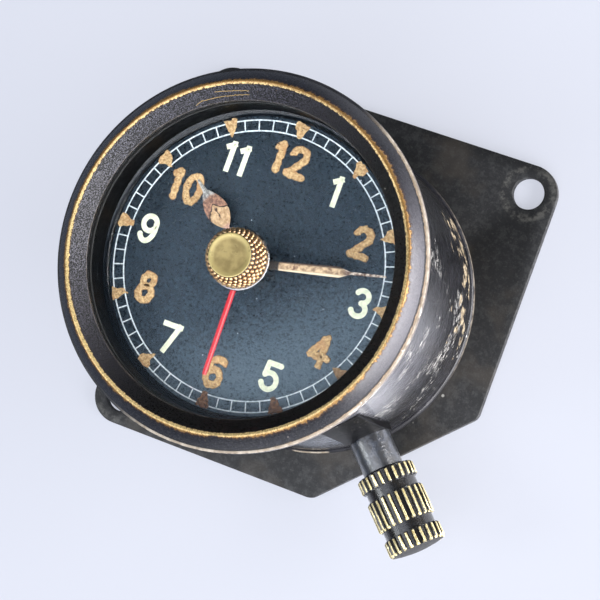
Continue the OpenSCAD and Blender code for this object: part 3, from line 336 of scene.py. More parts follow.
# The worn places gathered here also hold the painted foot highlight, which takes the cream colour.
wear_and_highlight = satin.most(satin.most(bare, lost), satin.most(flange_edge, foot_wear_and_highlight))
metal = satin.mix(lost, satin.mix(bare, cream, (238, 235, 228)), beige)
dull_foot = satin.ramp(radius, drum_r + 0.1, drum_r + 0.4, 0.0, 0.3)
satin.coat(satin.mix(wear_and_highlight, paint, metal),
           rough=satin.sum("ADD", satin.ramp(brushed, 0.35, 0.7, 0.16, 0.34), dull_foot))
lacquer = satin.ramp(radius, drum_r + 0.4, drum_r + 0.1)
lacquer = satin.times(satin.ramp(z, plate_t + 0.9, plate_t + 1.6), lacquer)
lacquer = satin.times(lacquer, satin.minus(1.0, wear_and_highlight))
satin.feed(satin.shader.inputs["Coat Weight"], lacquer)
tooling = satin.cloud(1.0, satin.join(satin.times(around, 3.0), satin.times(z, 9.0), radius))
first = satin.relief(tooling, 0.004)
satin.relief(satin.minus(satin.cloud(4.0, sheet), satin.times(wear_and_highlight, 2.5)), 0.014, first)

bm = turned([(0, plate_t), (drum_r + 0.5, plate_t), (drum_r + 0.5, plate_t + 0.45, 0.2),
             (drum_r, plate_t + 0.9, 0.3), (drum_r, flange_z, 0.4), (flange_r, flange_z, 0.25),
             (flange_r, rim_z, 0.25), (mouth_r, rim_z), (mouth_r, mouth_z), (seat_r, mouth_z),
             (seat_r, dial_seat_z), (drum_bore, dial_seat_z), (drum_bore, floor_z), (0, floor_z)])
drum = piece("drum_shell", bm, "case", "black_enamel", satin, "case_drum")

# Boss and tube of the winder: a square block with a sloping web, soldered to the drum, and a plain
# sleeve screwed into it that carries the winder's stem. The sleeve is blued, the block dull black and
# scratched on its slope.
stem_z, stem_deg = 12.6, -45
boss_w, boss_root, boss_face, boss_low, boss_high = 6.6, 24.9, 26.5, 9.3, 17.0
web_top, boss_edge = 30.0, 0.3
tube_r, spigot_r, tube_bore, tube_end = 3.3, 2.35, 1.35, 32.2
along_stem = {"turn": -stem_deg, "shift": (0, 0, -stem_z)}
on_stem = (Matrix.Rotation(math.radians(stem_deg), 4, "Z") @ Matrix.Translation((0, 0, stem_z))
           @ Matrix.Rotation(math.radians(90), 4, "Y"))

bm = bmesh.new()
bmesh.ops.create_cone(bm, cap_ends=True, segments=48, radius1=tube_bore, radius2=tube_bore, depth=6,
                      matrix=on_stem @ Matrix.Translation((0, 0, drum_r - 1)))
drill = placed("drill", bm)
hole = drum.modifiers.new("stem_hole", "BOOLEAN")
hole.object, hole.operation, hole.solver = drill, "DIFFERENCE", "EXACT"
drilled = bpy.data.meshes.new_from_object(drum.evaluated_get(bpy.context.evaluated_depsgraph_get()))
drum.modifiers.clear()
drum.data = drilled
bpy.data.objects.remove(drill)

blued = Finish("blue_black_tube", inputs={"Specular IOR Level": 1.0, "Coat Weight": 0.6,
                                          "Coat Roughness": 0.28, "Coat IOR": 1.8}, **along_stem)
along, across, up = blued.split()
mottle = blued.cloud(1.1, detail=5, rough=0.62)
blued_paint = blued.step(mottle, 0.4, 0.64, (10, 11, 14), (54, 58, 66))
blued.coat(blued_paint, rough=blued.ramp(mottle, 0.3, 0.7, 0.44, 0.24))
blued.relief(blued.cloud(1.4, blued.join(blued.times(along, 2.0), across, up)), 0.07)
block = Finish("scratched_block_black", rough=0.45, inputs={"Specular IOR Level": 0.08}, **along_stem)
along, across, up = block.split()
mottle = block.cloud(1.1, detail=4)
slanted = block.join(block.times(along, 1.4), block.scaled(along, 0.8, across), block.times(up, 0.6))
scratches = block.ramp(block.cloud(3.4, slanted, detail=5, rough=0.7), 0.64, 0.67)
scratches = block.times(scratches, block.ramp(up, boss_w / 2 + 4.0, boss_w / 2 + 8.0))
worn_black = block.step(mottle, 0.35, 0.7, (5, 5, 6), (18, 18, 20))
block.coat(block.mix(block.times(scratches, 0.7), worn_black, (190, 188, 184)))
block.relief(mottle, 0.04)

bm = bmesh.new()
side = bm.faces.new([bm.verts.new((r, -boss_w / 2, z)) for r, z in
                     ((boss_root, boss_low), (boss_face, boss_low), (boss_face, boss_high),
                      (drum_r + 0.1, web_top), (boss_root, web_top))])
draw_out(bm, [side], (0, boss_w, 0))
bm.transform(Matrix.Rotation(math.radians(stem_deg), 4, "Z"))
bmesh.ops.recalc_face_normals(bm, faces=bm.faces[:])
soften(bm, bm.edges[:], boss_edge, 4)
piece("boss_block", bm, "case", "blue_black", block, "stem_boss", sharp=25)
bm = turned([(tube_bore, drum_r + 0.05), (spigot_r, drum_r + 0.05), (spigot_r, boss_face),
             (tube_r, boss_face), (tube_r, tube_end, 0.2), (tube_bore, tube_end)], steps=96)
bm.transform(on_stem)
piece("tube_sleeve", bm, "case", "blue_black", blued, "stem_tube")

# Movement: brass plates, posts, barrel and wheels, polished steel arbors and pinions, blued screws and
# springs. It is built as solids and stands inside the closed drum, so it keeps their shapes.
brass = Finish("lacquered_movement_brass", metal=1.0)
tone = brass.cloud(0.25)
brushed = brass.cloud(1.6, brass.spot(stretch=(1, 14, 1)))
brass.coat(brass.mix(tone, (196, 158, 88), (222, 190, 118)),
           rough=brass.ramp(brushed, 0.3, 0.7, 0.22, 0.36))
brass.relief(brushed, 0.004)
dress(brass, "back_plate", "front_plate", "movement_posts", "movement_pillars", "dial_feet", "barrel",
      "barrel_cover", "intermediate_wheel", "centre_wheel", "third_wheel", "fourth_wheel", "escape_wheel",
      "balance_wheel", "escapement_bridge", "bridge_posts", "minute_wheel", "hour_wheel", "stem_bearing")
steel = Finish("polished_movement_steel", metal=1.0)
tone = steel.cloud(0.5)
fine = steel.cloud(1.2, steel.spot(stretch=(1, 1, 16)))
steel.coat(steel.mix(tone, (150, 150, 154), (196, 196, 200)), rough=steel.ramp(fine, 0.3, 0.7, 0.18, 0.3))
steel.relief(fine, 0.003)
dress(steel, "barrel_arbor", "ratchet_wheel", "click", "crown_wheel", "winding_pinion", "winding_stem",
      "intermediate_arbor", "centre_arbor", "third_arbor", "fourth_arbor", "escape_arbor", "pallet_lever",
      "balance_staff", "cannon_pinion", "minute_stud", "marker_spindle", "marker_spring", "marker_nut")
spring = Finish("blued_spring_steel", metal=1.0)
tone = spring.cloud(0.7)
spring.coat(spring.mix(tone, (38, 48, 96), (72, 88, 150)), rough=spring.ramp(tone, 0.3, 0.7, 0.2, 0.34))
dress(spring, "mainspring", "click_spring", "hairspring", "pillar_screws", "bridge_screws", "crown_stud")

# Dial: a thin brass disc, sprayed matt blue-black over a fine grain, which lies on the drum's ledge.
# Old lume has left it a little rough below 12. Dust specks lie on it, and it is painted lighter towards 5.
dial_z, dial_r, dial_hole = 40.7, 24.1, 2.4
face = Finish("grained_dial_black", inputs={"Specular IOR Level": 0.7, "Specular Tint": (216, 238, 255)})
x, y = face.split()[:2]
grain = face.cloud(2.4, detail=5, rough=0.7)
mottle = face.cloud(0.16, detail=4)
ground = face.step(mottle, 0.3, 0.7, (7, 13, 19), (14, 23, 31))
# Painted light: a painted pool of light makes the dial lighter towards 5, and painted shade dims its grain
# towards 11.
low_right = face.scaled(x, 0.6, face.times(y, -0.8))
grain_shaded_upper_left = face.times(face.ramp(grain, 0.48, 0.68), face.ramp(low_right, -15.0, 5.0, 0.4, 1.0))
ground = face.mix(grain_shaded_upper_left, ground, (44, 58, 69))
painted_light_low_right = face.times(face.ramp(low_right, 4.0, 18.0), face.ramp(grain, 0.35, 0.6, 0.55, 1.0))
ground = face.mix(painted_light_low_right, ground, (72, 84, 92))
dust = face.ramp(face.cells(0.42), 0.05, 0.025)
dust = face.times(dust, face.ramp(face.cloud(0.09), 0.48, 0.58))
face.coat(face.mix(dust, ground, (206, 212, 214)), rough=face.ramp(grain, 0.3, 0.7, 0.24, 0.36))
scuffed = face.times(face.ramp(face.span(x, face.minus(y, 6.3)), 6.0, 2.0),
                     face.cloud(1.6, detail=4, rough=0.65))
first = face.relief(grain, 0.13)
face.relief(scuffed, 0.12, first)
piece("dial_disc", turned([(dial_hole, dial_seat_z), (dial_r, dial_seat_z), (dial_r, dial_z, 0.1),
                           (dial_hole, dial_z, 0.05)]), "case", "dial_black", face, "dial")

# Minute track: two fine rings with sixty strokes between them, printed on the dial in white ink that
# has worn a little thin.
track_out, track_in, track_line, stroke_w, print_t = 21.94, 20.31, 0.2, 0.19, 0.025
white = Finish("white_track_print")
thin = white.cloud(2.4)
white.coat(white.step(thin, 0.25, 0.7, (168, 178, 182), (226, 232, 232)))
white.relief(thin, 0.006)


def repeat(bm, steps, geom=None, angle=2 * math.pi):
    """Copies a form, or the whole mesh, round the axis."""
    bmesh.ops.spin(bm, geom=geom or bm.verts[:] + bm.edges[:] + bm.faces[:], cent=(0, 0, 0),
                   axis=(0, 0, 1), angle=angle, steps=steps, use_duplicate=True)


def merge(bm, other):
    """Adds one mesh to another."""
    carrier = bpy.data.meshes.new("carrier")
    other.to_mesh(carrier)
    other.free()
    bm.from_mesh(carrier)
    bpy.data.meshes.remove(carrier)


bm = bmesh.new()
middle = Matrix.Translation(((track_out + track_in) / 2, 0, dial_z + print_t / 2))
bmesh.ops.create_cube(bm, size=1.0,
                      matrix=middle @ Matrix.Diagonal((track_out - track_in, stroke_w, print_t, 1)))
repeat(bm, 60)
bmesh.ops.remove_doubles(bm, verts=bm.verts[:], dist=0.001)
line_low, line_high = dial_z - 0.01, dial_z + print_t + 0.002
for line_r in (track_out, track_in):
    inner, outer = line_r - track_line / 2, line_r + track_line / 2
    merge(bm, turned([(inner, line_low), (outer, line_low), (outer, line_high), (inner, line_high)]))
piece("track_print", bm, "case", "hand_lume", white)

# Hour marks: a blob of luminous paint at each hour, laid over the track as a blunt wedge that points
# inwards. It has gone tan and crumbly, browner towards 5 and 6, with ragged edges.
lume_t, wedge_in, wedge_out, wedge_half, wedge_round = 0.13, 19.55, 22.4, 1.3, 0.6
lume = Finish("aged_tan_lume", rough=0.85)
x, y, z = lume.split()
crumb = lume.cloud(2.6, detail=5, rough=0.65)
blotch = lume.cloud(0.6, detail=4)
tan = lume.step(crumb, 0.35, 0.68, (156, 120, 78), (216, 184, 134))
tan = lume.mix(lume.times(lume.ramp(blotch, 0.5, 0.7), 0.7), tan, (176, 130, 86))
brown = lume.step(crumb, 0.35, 0.68, (64, 44, 34), (138, 98, 72))
low_side = lume.ramp(lume.scaled(blotch, 6.0, lume.scaled(x, -0.45, y)), -12.0, -19.0)
rim_only = lume.ramp(lume.span(x, y), 19.4, 19.9)
tan = lume.mix(lume.times(low_side, rim_only), tan, brown)
edges = lume.ramp(lume.scaled(crumb, -0.07, z), dial_z + 0.055, dial_z + 0.005)
tan = lume.mix(lume.times(edges, 0.75), tan, (112, 78, 50))
chips = lume.ramp(lume.cloud(1.5, detail=5, rough=0.7), 0.63, 0.66)
lume.coat(lume.mix(chips, tan, (56, 42, 34)))
lume.relief(crumb, 0.09)


def rag(bm, size, per_mm, seed):
    """Frays the edges of a flat mark by pushing its points about."""
    for vert in bm.verts:
        here = Vector((vert.co.x * per_mm, vert.co.y * per_mm, seed))
        vert.co.x += noise.noise(here) * size
        vert.co.y += noise.noise(here + Vector((0, 0, 17.23))) * size


bm = bmesh.new()
bm.faces.new([bm.verts.new((r, across, dial_z)) for r, across in
              ((wedge_in, 0), (wedge_out, wedge_half), (wedge_out, -wedge_half))])
soften(bm, bm.verts[:], wedge_round, 4, "VERTICES")
bmesh.ops.subdivide_edges(bm, edges=bm.edges[:], cuts=4, use_grid_fill=True)
draw_out(bm, bm.faces[:], (0, 0, lume_t))
repeat(bm, 12)
bmesh.ops.remove_doubles(bm, verts=bm.verts[:], dist=0.0005)
rag(bm, 0.42, 1.5, 4.37)
piece("hour_marks", bm, "case", "hand_lume", lume)

# Figures: the odd hours are printed in thin pale green-white paint and are still crisp. The even hours
# are painted thick with the same luminous compound as the hour marks, with blunt round strokes.
pale_rise, pale_w, pale_half = 0.03, 0.92, 1.93
fat_rise, fat_w, fat_half = 0.15, 1.2, 2.02


def bow(cx, cy, rx, ry, start, end):
    """Points along a part of an ellipse, by angle."""
    steps = max(2, round(abs(end - start) / 9))
    angles = [math.radians(start + (end - start) * i / steps) for i in range(steps + 1)]
    return [(cx + rx * math.cos(a), cy + ry * math.sin(a)) for a in angles]


strokes = {
    "0": [bow(0, 0, 0.5, 1, 0, 360)],
    "1": [[(0.1, -1.0), (0.1, 1.0)], [(0.1, 0.96), (-0.26, 0.74)]],
    "2": [bow(0, 0.48, 0.55, 0.52, 165, -28) + [(-0.5, -0.96)], [(-0.56, -1), (0.62, -1)]],
    "3": [bow(0.02, 0.52, 0.5, 0.48, 150, -80), bow(0, -0.48, 0.56, 0.52, 80, -158)],
    "4": [[(0.16, 1.0), (-0.66, -0.42)], [(-0.66, -0.42), (0.66, -0.42)], [(0.24, 1.0), (0.24, -1.05)]],
    "5": [[(0.58, 1.0), (-0.4, 1.0)], [(-0.4, 1.0), (-0.46, 0.14)], bow(0, -0.36, 0.6, 0.64, 138, -158)],
    "6": [bow(0.1, 0.34, 0.62, 0.66, 48, 180) + [(-0.53, -0.2)], bow(0, -0.42, 0.53, 0.58, 0, 360)],
    "7": [[(-0.62, 1.0), (0.6, 1.0)], [(0.56, 1.0), (-0.12, -1.0)]],
    "8": [bow(0, 0.52, 0.4, 0.46, 0, 360), bow(0, -0.44, 0.5, 0.56, 0, 360)],
    "9": [bow(0, 0.42, 0.55, 0.58, 0, 360), bow(-0.06, 0.06, 0.61, 1.06, 22, -142)],
}
square_ends = {"1": (0, 1), "7": (0, 1)}
odd_places = {"1": [(8.3, 14.4)], "3": [(17.6, 0.0)], "5": [(8.5, -14.6)], "7": [(-8.4, -14.4)],
              "9": [(-17.5, 0.0)], "11": [(-9.3, 14.3), (-7.0, 14.3)]}
even_places = {"2": [(14.65, 8.5)], "4": [(14.4, -8.5)], "6": [(0.15, -16.8)], "8": [(-14.6, -8.4)],
               "10": [(-15.85, 7.85), (-12.95, 7.85)], "12": [(-1.95, 16.65), (1.15, 16.65)]}


def figure(bm, digit, place, half, width, rise, round_ends):
    """One figure: each stroke is a flattened tube that lies on the dial."""
    for index, points in enumerate(strokes[digit]):
        blunt = round_ends or index not in square_ends.get(digit, ())
        path = [Vector((place[0] + px * half, place[1] + py * half, 0)) for px, py in points]
        path = [a.lerp(b, i / cuts) for a, b in zip(path, path[1:])
                for cuts in [max(1, round((b - a).length / 0.25))] for i in range(cuts)] + path[-1:]
        if not blunt:
            path[-1] = path[-1] + (path[-1] - path[-2]).normalized() * width / 2
            path[0] = path[0] - (path[1] - path[0]).normalized() * width / 2
        line = bpy.data.curves.new("stroke", "CURVE")
        line.dimensions, line.bevel_depth, line.bevel_resolution = "3D", width / 2, 3
        line.use_fill_caps = True
        closed = (path[0] - path[-1]).length < 0.001
        run = path[:-1] if closed else path
        spline = line.splines.new("POLY")
        spline.points.add(len(run) - 1)
        spline.use_cyclic_u = closed
        for point, where in zip(spline.points, run):
            point.co = (*where, 1)
        holder = bpy.data.objects.new("stroke", line)
        drawn = bpy.data.meshes.new_from_object(holder)
        bm.from_mesh(drawn)
        bpy.data.meshes.remove(drawn)
        bpy.data.objects.remove(holder)
        bpy.data.curves.remove(line)
        if blunt and not closed:
            for end in (path[0], path[-1]):
                bmesh.ops.create_uvsphere(bm, u_segments=20, v_segments=10, radius=width / 2,
                                          matrix=Matrix.Translation(end))
    for vert in bm.verts:
        if vert.tag:
            continue
        vert.tag = True
        vert.co.z = dial_z - 0.01 + max(vert.co.z, 0) * rise / (width / 2)


def figures(places, half, width, rise, round_ends):
    bm = bmesh.new()
    for number, spots in places.items():
        for digit, place in zip(number, spots):
            figure(bm, digit, place, half, width, rise, round_ends)
    return bm


pale = Finish("pale_printed_lume", rough=0.6)
thin = pale.cloud(1.6, detail=4)
pale.coat(pale.step(thin, 0.3, 0.7, (206, 208, 178), (238, 239, 208)))
pale.relief(pale.cloud(6.0), 0.012)
bm = figures(odd_places, pale_half, pale_w, pale_rise, False)
piece("odd_figures", bm, "case", "hand_lume", pale)
bm = figures(even_places, fat_half, fat_w, fat_rise, True)
rag(bm, 0.22, 1.9, 9.61)
piece("even_figures", bm, "case", "hand_lume", lume)

# Wall round the dial: a turned ring, sprayed black, that keeps the glass off the dial. A glossy bead
# runs round its foot, and a flat rubber ring lies on top of it under the glass.
wall_r, wall_top, gasket_top = 23.45, 45.9, 46.3
wall_foot, wall_step, bead_in, bead_crown = 22.85, 22.98, 22.5, 22.95
wall = Finish("satin_black_wall", inputs={"Specular IOR Level": 0.08})
dust_and_lit_side = wall.cloud(0.8, detail=5)
wall.coat(wall.step(dust_and_lit_side, 0.5, 0.85, (2, 2, 2), (8, 8, 9)), rough=wall.ramp(dust_and_lit_side, 0.3, 0.7, 0.45, 0.6))
wall.relief(wall.cloud(0.8, wall.spot(stretch=(1, 1, 8))), 0.01)
bm = turned([(wall_foot, dial_z), (dial_r, dial_z), (dial_r, wall_top), (wall_r, wall_top, 0.15),
             (wall_r, dial_z + 0.45, 0.1), (wall_step, dial_z + 0.4, 0.16)])
piece("wall_ring", bm, "case", "ring_black", wall, "spacer_ring")
gloss = Finish("glossy_dial_bead")
smudge = gloss.cloud(0.5, detail=4)
gloss.coat(gloss.step(smudge, 0.4, 0.7, (3, 5, 8), (9, 13, 18)),
           rough=gloss.ramp(smudge, 0.3, 0.7, 0.12, 0.22))
gloss.relief(gloss.cloud(3.0), 0.006)
bm = turned([(bead_in, dial_z), (wall_r, dial_z), (wall_r, dial_z + 0.7, 0.1),
             (bead_crown, dial_z + 0.5, 0.2), (bead_in + 0.12, dial_z + 0.22, 0.12)])
piece("dial_bead", bm, "case", "ring_black", gloss)
rubber = Finish("black_rubber", rough=0.7)
rubber.coat(rubber.mix(rubber.cloud(1.5), (12, 12, 12), (28, 28, 27)))
rubber.relief(rubber.cloud(6.0), 0.01)
bm = turned([(wall_r, wall_top, 0.1), (dial_r, wall_top), (dial_r, gasket_top), (wall_r, gasket_top, 0.1)])
piece("gasket_ring", bm, "case", "gasket", rubber, "crystal_gasket")

# Hour and minute hands: blued steel skeletons filled with luminous compound that has turned brown and
# cracked, with bare, rusted points. Each is pressed on its pipe at the middle of the dial.
hand_t, hour_z, minute_z = 0.3, 41.95, 43.45
hour_deg, hour_root, leaf_start, leaf_end, hour_tip, hour_eye = 307.5, 2.2, 6.7, 13.3, 15.3, (2.6, 1.62)
minute_deg, minute_root, bar_end, needle_start, minute_tip = 77.0, 1.6, 14.2, 16.2, 21.3
minute_eye = (2.1, 1.02)


def blade(length, half_width, z, dome, deg, start, cells=(120, 6)):
    """A flat hand cut from a strip: half_width gives its outline along its length, dome its crown."""
    bm = bmesh.new()
    bmesh.ops.create_grid(bm, x_segments=cells[0], y_segments=cells[1], size=0.5)
    for vert in bm.verts:
        along = start + (vert.co.x + 0.5) * (length - start)
        side = vert.co.y * 2
        vert.co = (along, side * half_width(along), hand_t + dome(along) * (1 - side * side))
    for vert in draw_out(bm, bm.faces[:], (0, 0, 0)):
        vert.co.z = 0
    bm.transform(Matrix.Translation((0, 0, z)) @ Matrix.Rotation(math.radians(90 - deg), 4, "Z"))
    return bm


def hub(bm, outer, inner, z):
    """Adds the round eye of a hand."""
    top = z + hand_t
    merge(bm, turned([(inner, z), (outer, z), (outer, top, 0.05), (inner, top)], steps=64))


def hour_half(r):
    """A thin root, a leaf and a tapering point."""
    if r < leaf_start:
        return 0.3
    if r < leaf_end:
        t = (r - leaf_start) / (leaf_end - leaf_start)
        return 0.3 + 1.45 * math.sin(math.pi * t ** 0.9) ** 0.85
    return 0.34 - 0.1 * (r - leaf_end)


def minute_half(r):
    """A bar that widens slowly, a short shoulder and a needle."""
    if r < bar_end:
        return 0.55 + 0.018 * r
    if r < needle_start:
        return max(0.17, 0.8 - 0.36 * (r - bar_end))
    return 0.2 - 0.01 * (r - needle_start)


cracked = Finish("cracked_hour_lume", rough=0.75, turn=hour_deg - 90)
along, across = cracked.split()[:2]
crumb = cracked.cloud(2.2, detail=5, rough=0.62)
blotch = cracked.cloud(0.8)
tan = cracked.step(crumb, 0.35, 0.7, (150, 118, 84), (208, 176, 136))
ash = cracked.step(crumb, 0.4, 0.65, (98, 70, 58), (164, 122, 98))
vee = cracked.scaled(cracked.sum("ABSOLUTE", across), 0.9, along)
vee = cracked.scaled(cracked.minus(blotch, 0.5), 1.6, vee)
leaf = cracked.step(vee, 10.6, 10.9, tan, ash)
crack = cracked.near(vee, 10.7, 0.2, 0.08)
seam = cracked.scaled(cracked.minus(blotch, 0.5), 1.5, across)
seam = cracked.times(cracked.ramp(cracked.sum("ABSOLUTE", seam), 0.12, 0.04),
                     cracked.ramp(along, 10.4, 9.8))
crack = cracked.most(crack, cracked.times(seam, cracked.ramp(along, 8.0, 8.6)))
leaf = cracked.mix(crack, leaf, (58, 40, 32))
metal = cracked.step(crumb, 0.35, 0.65, (92, 92, 90), (172, 170, 164))
leaf = cracked.step(cracked.scaled(blotch, 1.4, along), 12.7, 13.2, leaf, metal)
root = cracked.mix(crumb, (150, 108, 90), (214, 176, 156))
cracked.coat(cracked.step(along, 7.3, 6.7, leaf, root))
cracked.relief(cracked.minus(crumb, crack), 0.1)
bm = blade(hour_tip, hour_half, hour_z, lambda r: 0.22 if 6.9 < r < 13 else 0.04, hour_deg, hour_root)
hub(bm, *hour_eye, hour_z)
piece("hour_leaf", bm, "hour", "hand_lume", cracked, "hour_hand", sharp=40)

rusted = Finish("rusted_minute_lume", rough=0.75, turn=minute_deg - 90)
along, across = rusted.split()[:2]
crumb = rusted.cloud(2.0, detail=5, rough=0.65)
blotch = rusted.cloud(0.9, detail=4)
bar = rusted.step(crumb, 0.35, 0.66, (122, 96, 72), (204, 176, 140))
bar = rusted.step(blotch, 0.56, 0.68, bar, (104, 74, 56))
fray = rusted.scaled(rusted.minus(crumb, 0.5), 0.35, across)
bar = rusted.step(fray, 0.42, 0.58, bar, (70, 54, 44))
bar = rusted.step(fray, -0.4, -0.56, bar, (216, 196, 166))
needle = rusted.step(crumb, 0.4, 0.62, (96, 70, 56), (222, 206, 188))
bar = rusted.step(along, 14.6, 15.4, bar, needle)
dark = rusted.mix(crumb, (18, 18, 20), (44, 40, 38))
rusted.coat(rusted.step(along, 5.15, 4.85, bar, dark))
rusted.relief(crumb, 0.1)
bm = blade(minute_tip, minute_half, minute_z, lambda r: 0.12 if r < 14.5 else 0.05, minute_deg, minute_root)
hub(bm, *minute_eye, minute_z)
piece("minute_bar", bm, "minute", "hand_lume", rusted, "minute_hand", sharp=40)

# Marker hand: a thin strip with a ridge down its middle, enamelled red. It is riveted to the knob's
# spindle just behind the glass and is set by hand to mark a time.
marker_z, marker_deg, marker_root, marker_tip, marker_eye = 45.25, 179.0, 1.4, 17.6, (2.15, 1.26)
red = Finish("red_marker_enamel", turn=marker_deg - 90)
across = red.split()[1]
# A painted highlight: a pale pink line runs along one side of the ridge.
painted_ridge_highlight = red.near(across, 0.16, 0.12, 0.03)
tone = red.cloud(1.2)
base = red.mix(tone, (160, 20, 30), (190, 36, 46))
red.coat(red.mix(red.times(painted_ridge_highlight, 0.5), base, (236, 128, 124)), rough=red.ramp(tone, 0.3, 0.7, 0.28, 0.4))
red.relief(red.cloud(4.0), 0.006)
bm = blade(marker_tip, lambda r: 0.4 - 0.004 * r if r < 17.0 else 0.33 - 0.1 * (r - 17.0), marker_z,
           lambda r: 0.06, marker_deg, marker_root, cells=(60, 8))
hub(bm, *marker_eye, marker_z)
piece("marker_strip", bm, "marker", "marker_red", red, "marker_hand", sharp=40)

# Glass: a flat ground disc that the bezel holds down on its rubber ring, drilled in the middle for the
# marker's bush. Lamplight goes straight through it, so that it throws no shadow on the dial.
glass_z, glass_top, glass_hole = 46.3, 47.6, 2.25
glass = Finish("flat_glass", inputs={"Transmission Weight": 1.0, "IOR": 1.2})
smear = glass.cloud(0.2, detail=4)
glass.coat((250, 252, 252), rough=glass.ramp(smear, 0.55, 0.9, 0.0, 0.05))
clear = glass.node("ShaderNodeBsdfTransparent")
lamp_ray = glass.node("ShaderNodeLightPath").outputs["Is Shadow Ray"]
both = glass.node("ShaderNodeMixShader", {0: lamp_ray, 1: glass.shader.outputs[0], 2: clear.outputs[0]})
glass.feed(glass.tree.nodes["Material Output"].inputs["Surface"], both.outputs[0])
bm = turned([(glass_hole, glass_z), (dial_r, glass_z), (dial_r, glass_top), (glass_hole, glass_top)])
piece("glass_disc", bm, "case", "crystal", glass, "crystal")

# Bush and knob of the marker: a nickelled flanged bush clamps the glass, and a brass knob on the spindle
# stands over it. The knob's bulged side is pressed all over with round beads, its top is dished.
bush_low, bush_z, bush_t, bush_r, bush_neck, bush_bore = 45.75, 47.6, 0.4, 4.66, 2.2, 1.3
nickel = Finish("bright_nickel", metal=1.0)
tone = nickel.cloud(0.8, detail=4)
nickel.coat(nickel.mix(tone, (120, 120, 122), (190, 190, 190)),
            rough=nickel.ramp(tone, 0.3, 0.7, 0.14, 0.3))
nickel.relief(tone, 0.01)
bm = turned([(bush_bore, bush_low), (bush_neck, bush_low), (bush_neck, bush_z), (bush_r, bush_z),
             (bush_r, bush_z + bush_t, 0.15), (bush_bore, bush_z + bush_t)], steps=128)
piece("bush_collar", bm, "case", "nickel", nickel, "marker_bush")

knob_z, knob_top, knob_r, knob_top_r, knob_bore, knob_recess = 48.1, 52.4, 4.22, 3.3, 1.26, 3.0
bead_rows, beads, bead_r, bead_sunk = 5, 32, 0.37, 0.09
gold = Finish("worn_knob_brass")
x, y, z = gold.split()
tone = gold.cloud(0.9, detail=4)
polished = gold.step(tone, 0.3, 0.7, (196, 154, 108), (238, 204, 160))
from_axis = gold.span(x, y)
top_face = gold.times(gold.ramp(from_axis, knob_top_r + 0.1, knob_top_r - 0.05),
                      gold.ramp(z, knob_top - 0.5, knob_top - 0.3))
olive = gold.step(gold.cloud(0.7, detail=5), 0.35, 0.7, (138, 120, 74), (172, 152, 98))
olive = gold.step(from_axis, knob_top_r - 1.1, knob_top_r - 0.3, olive, (184, 166, 108))
gold.coat(gold.mix(top_face, polished, olive), rough=gold.ramp(tone, 0.3, 0.7, 0.26, 0.42),
          metal=gold.scaled(top_face, -0.6, 1.0))
gold.relief(gold.cloud(3.0, detail=4), 0.012)
grime = Finish("knob_grime", rough=0.6)
grime.coat(grime.mix(grime.cloud(1.8), (14, 9, 6), (44, 30, 18)))
grime.relief(grime.cloud(5.0), 0.01)


def knob_side(t):
    """Radius and height of the knob's bulged side, t from its foot to its top."""
    drawn_in = max(0.0, (t - 0.2) / 0.8) ** 2.0
    return knob_r - (knob_r - knob_top_r) * drawn_in, knob_z + 0.1 + t * (knob_top - knob_z - 0.16)


side = [knob_side(i / 14) for i in range(15)]
bm = turned([(knob_bore, knob_z + 0.6), (knob_recess, knob_z + 0.6), (knob_recess, knob_z),
             (side[0][0] - 0.1, knob_z)] + side
            + [(knob_top_r - 0.1, knob_top, 0.06), (knob_top_r - 0.3, knob_top, 0.1),
               (knob_top_r - 0.8, knob_top - 0.1, 0.3), (0, knob_top - 0.14), (0, knob_top - 1.2),
               (knob_bore, knob_top - 1.2)], steps=96)
body = piece("knob_body", bm, "marker", "bright_brass", gold, "marker_knob")
body.data.materials.append(grime.material)
for facet in body.data.polygons:
    middle = facet.center / MM
    if math.hypot(middle.x, middle.y) > knob_top_r - 0.04 and middle.z < knob_top - 0.04:
        facet.material_index = 1
bm = bmesh.new()
for row in range(bead_rows):
    radius, height = knob_side((row + 0.45) / (bead_rows - 0.1))
    start = Matrix.Rotation(math.pi / beads * (row % 2), 4, "Z")
    squeeze = Matrix.Diagonal((1, min(1.0, radius / knob_r), 1, 1))
    place = start @ Matrix.Translation((radius - bead_sunk, 0, height)) @ squeeze
    made = bmesh.ops.create_uvsphere(bm, u_segments=10, v_segments=7, radius=bead_r, matrix=place)
    bead = set(made["verts"])
    rest = [g for g in bm.edges[:] + bm.faces[:] if g.verts[0] in bead]
    repeat(bm, beads - 1, list(bead) + rest, 2 * math.pi * (beads - 1) / beads)
piece("knob_beads", bm, "marker", "bright_brass", gold, sharp=80)

# Bezel: a turned brass ring that screws into the drum's mouth and holds the glass down. Its inner slope
# is sand-blasted, its outer slope smooth, both black; the crest between them is worn through to brass.
crest_r, crest_z, lip_r, lip_z, foot_r = 25.95, 50.4, 23.45, 48.35, 28.0
skirt_out, skirt_in, skirt_z, shoulder_r, shoulder_z = 24.65, 24.15, 45.4, 27.13, 49.18
ring = Finish("worn_black_bezel", inputs={"Specular IOR Level": 0.4})
x, y, z = ring.split()
radius = ring.span(x, y)
around = ring.sum("ARCTAN2", y, x)
arc = ring.times(around, crest_r)
strip = ring.join(arc, radius, z)
sand = ring.cloud(5.0, strip, detail=2, rough=0.6)
coarse = ring.cloud(2.2, strip, detail=5, rough=0.7)
broad = ring.cloud(0.14, ring.join(arc, 0.0, 5.0))
jag = ring.cloud(1.7, ring.join(arc, 0.0, 2.0), detail=5, rough=0.7)
inside = ring.ramp(radius, crest_r - 0.28, crest_r - 0.42)
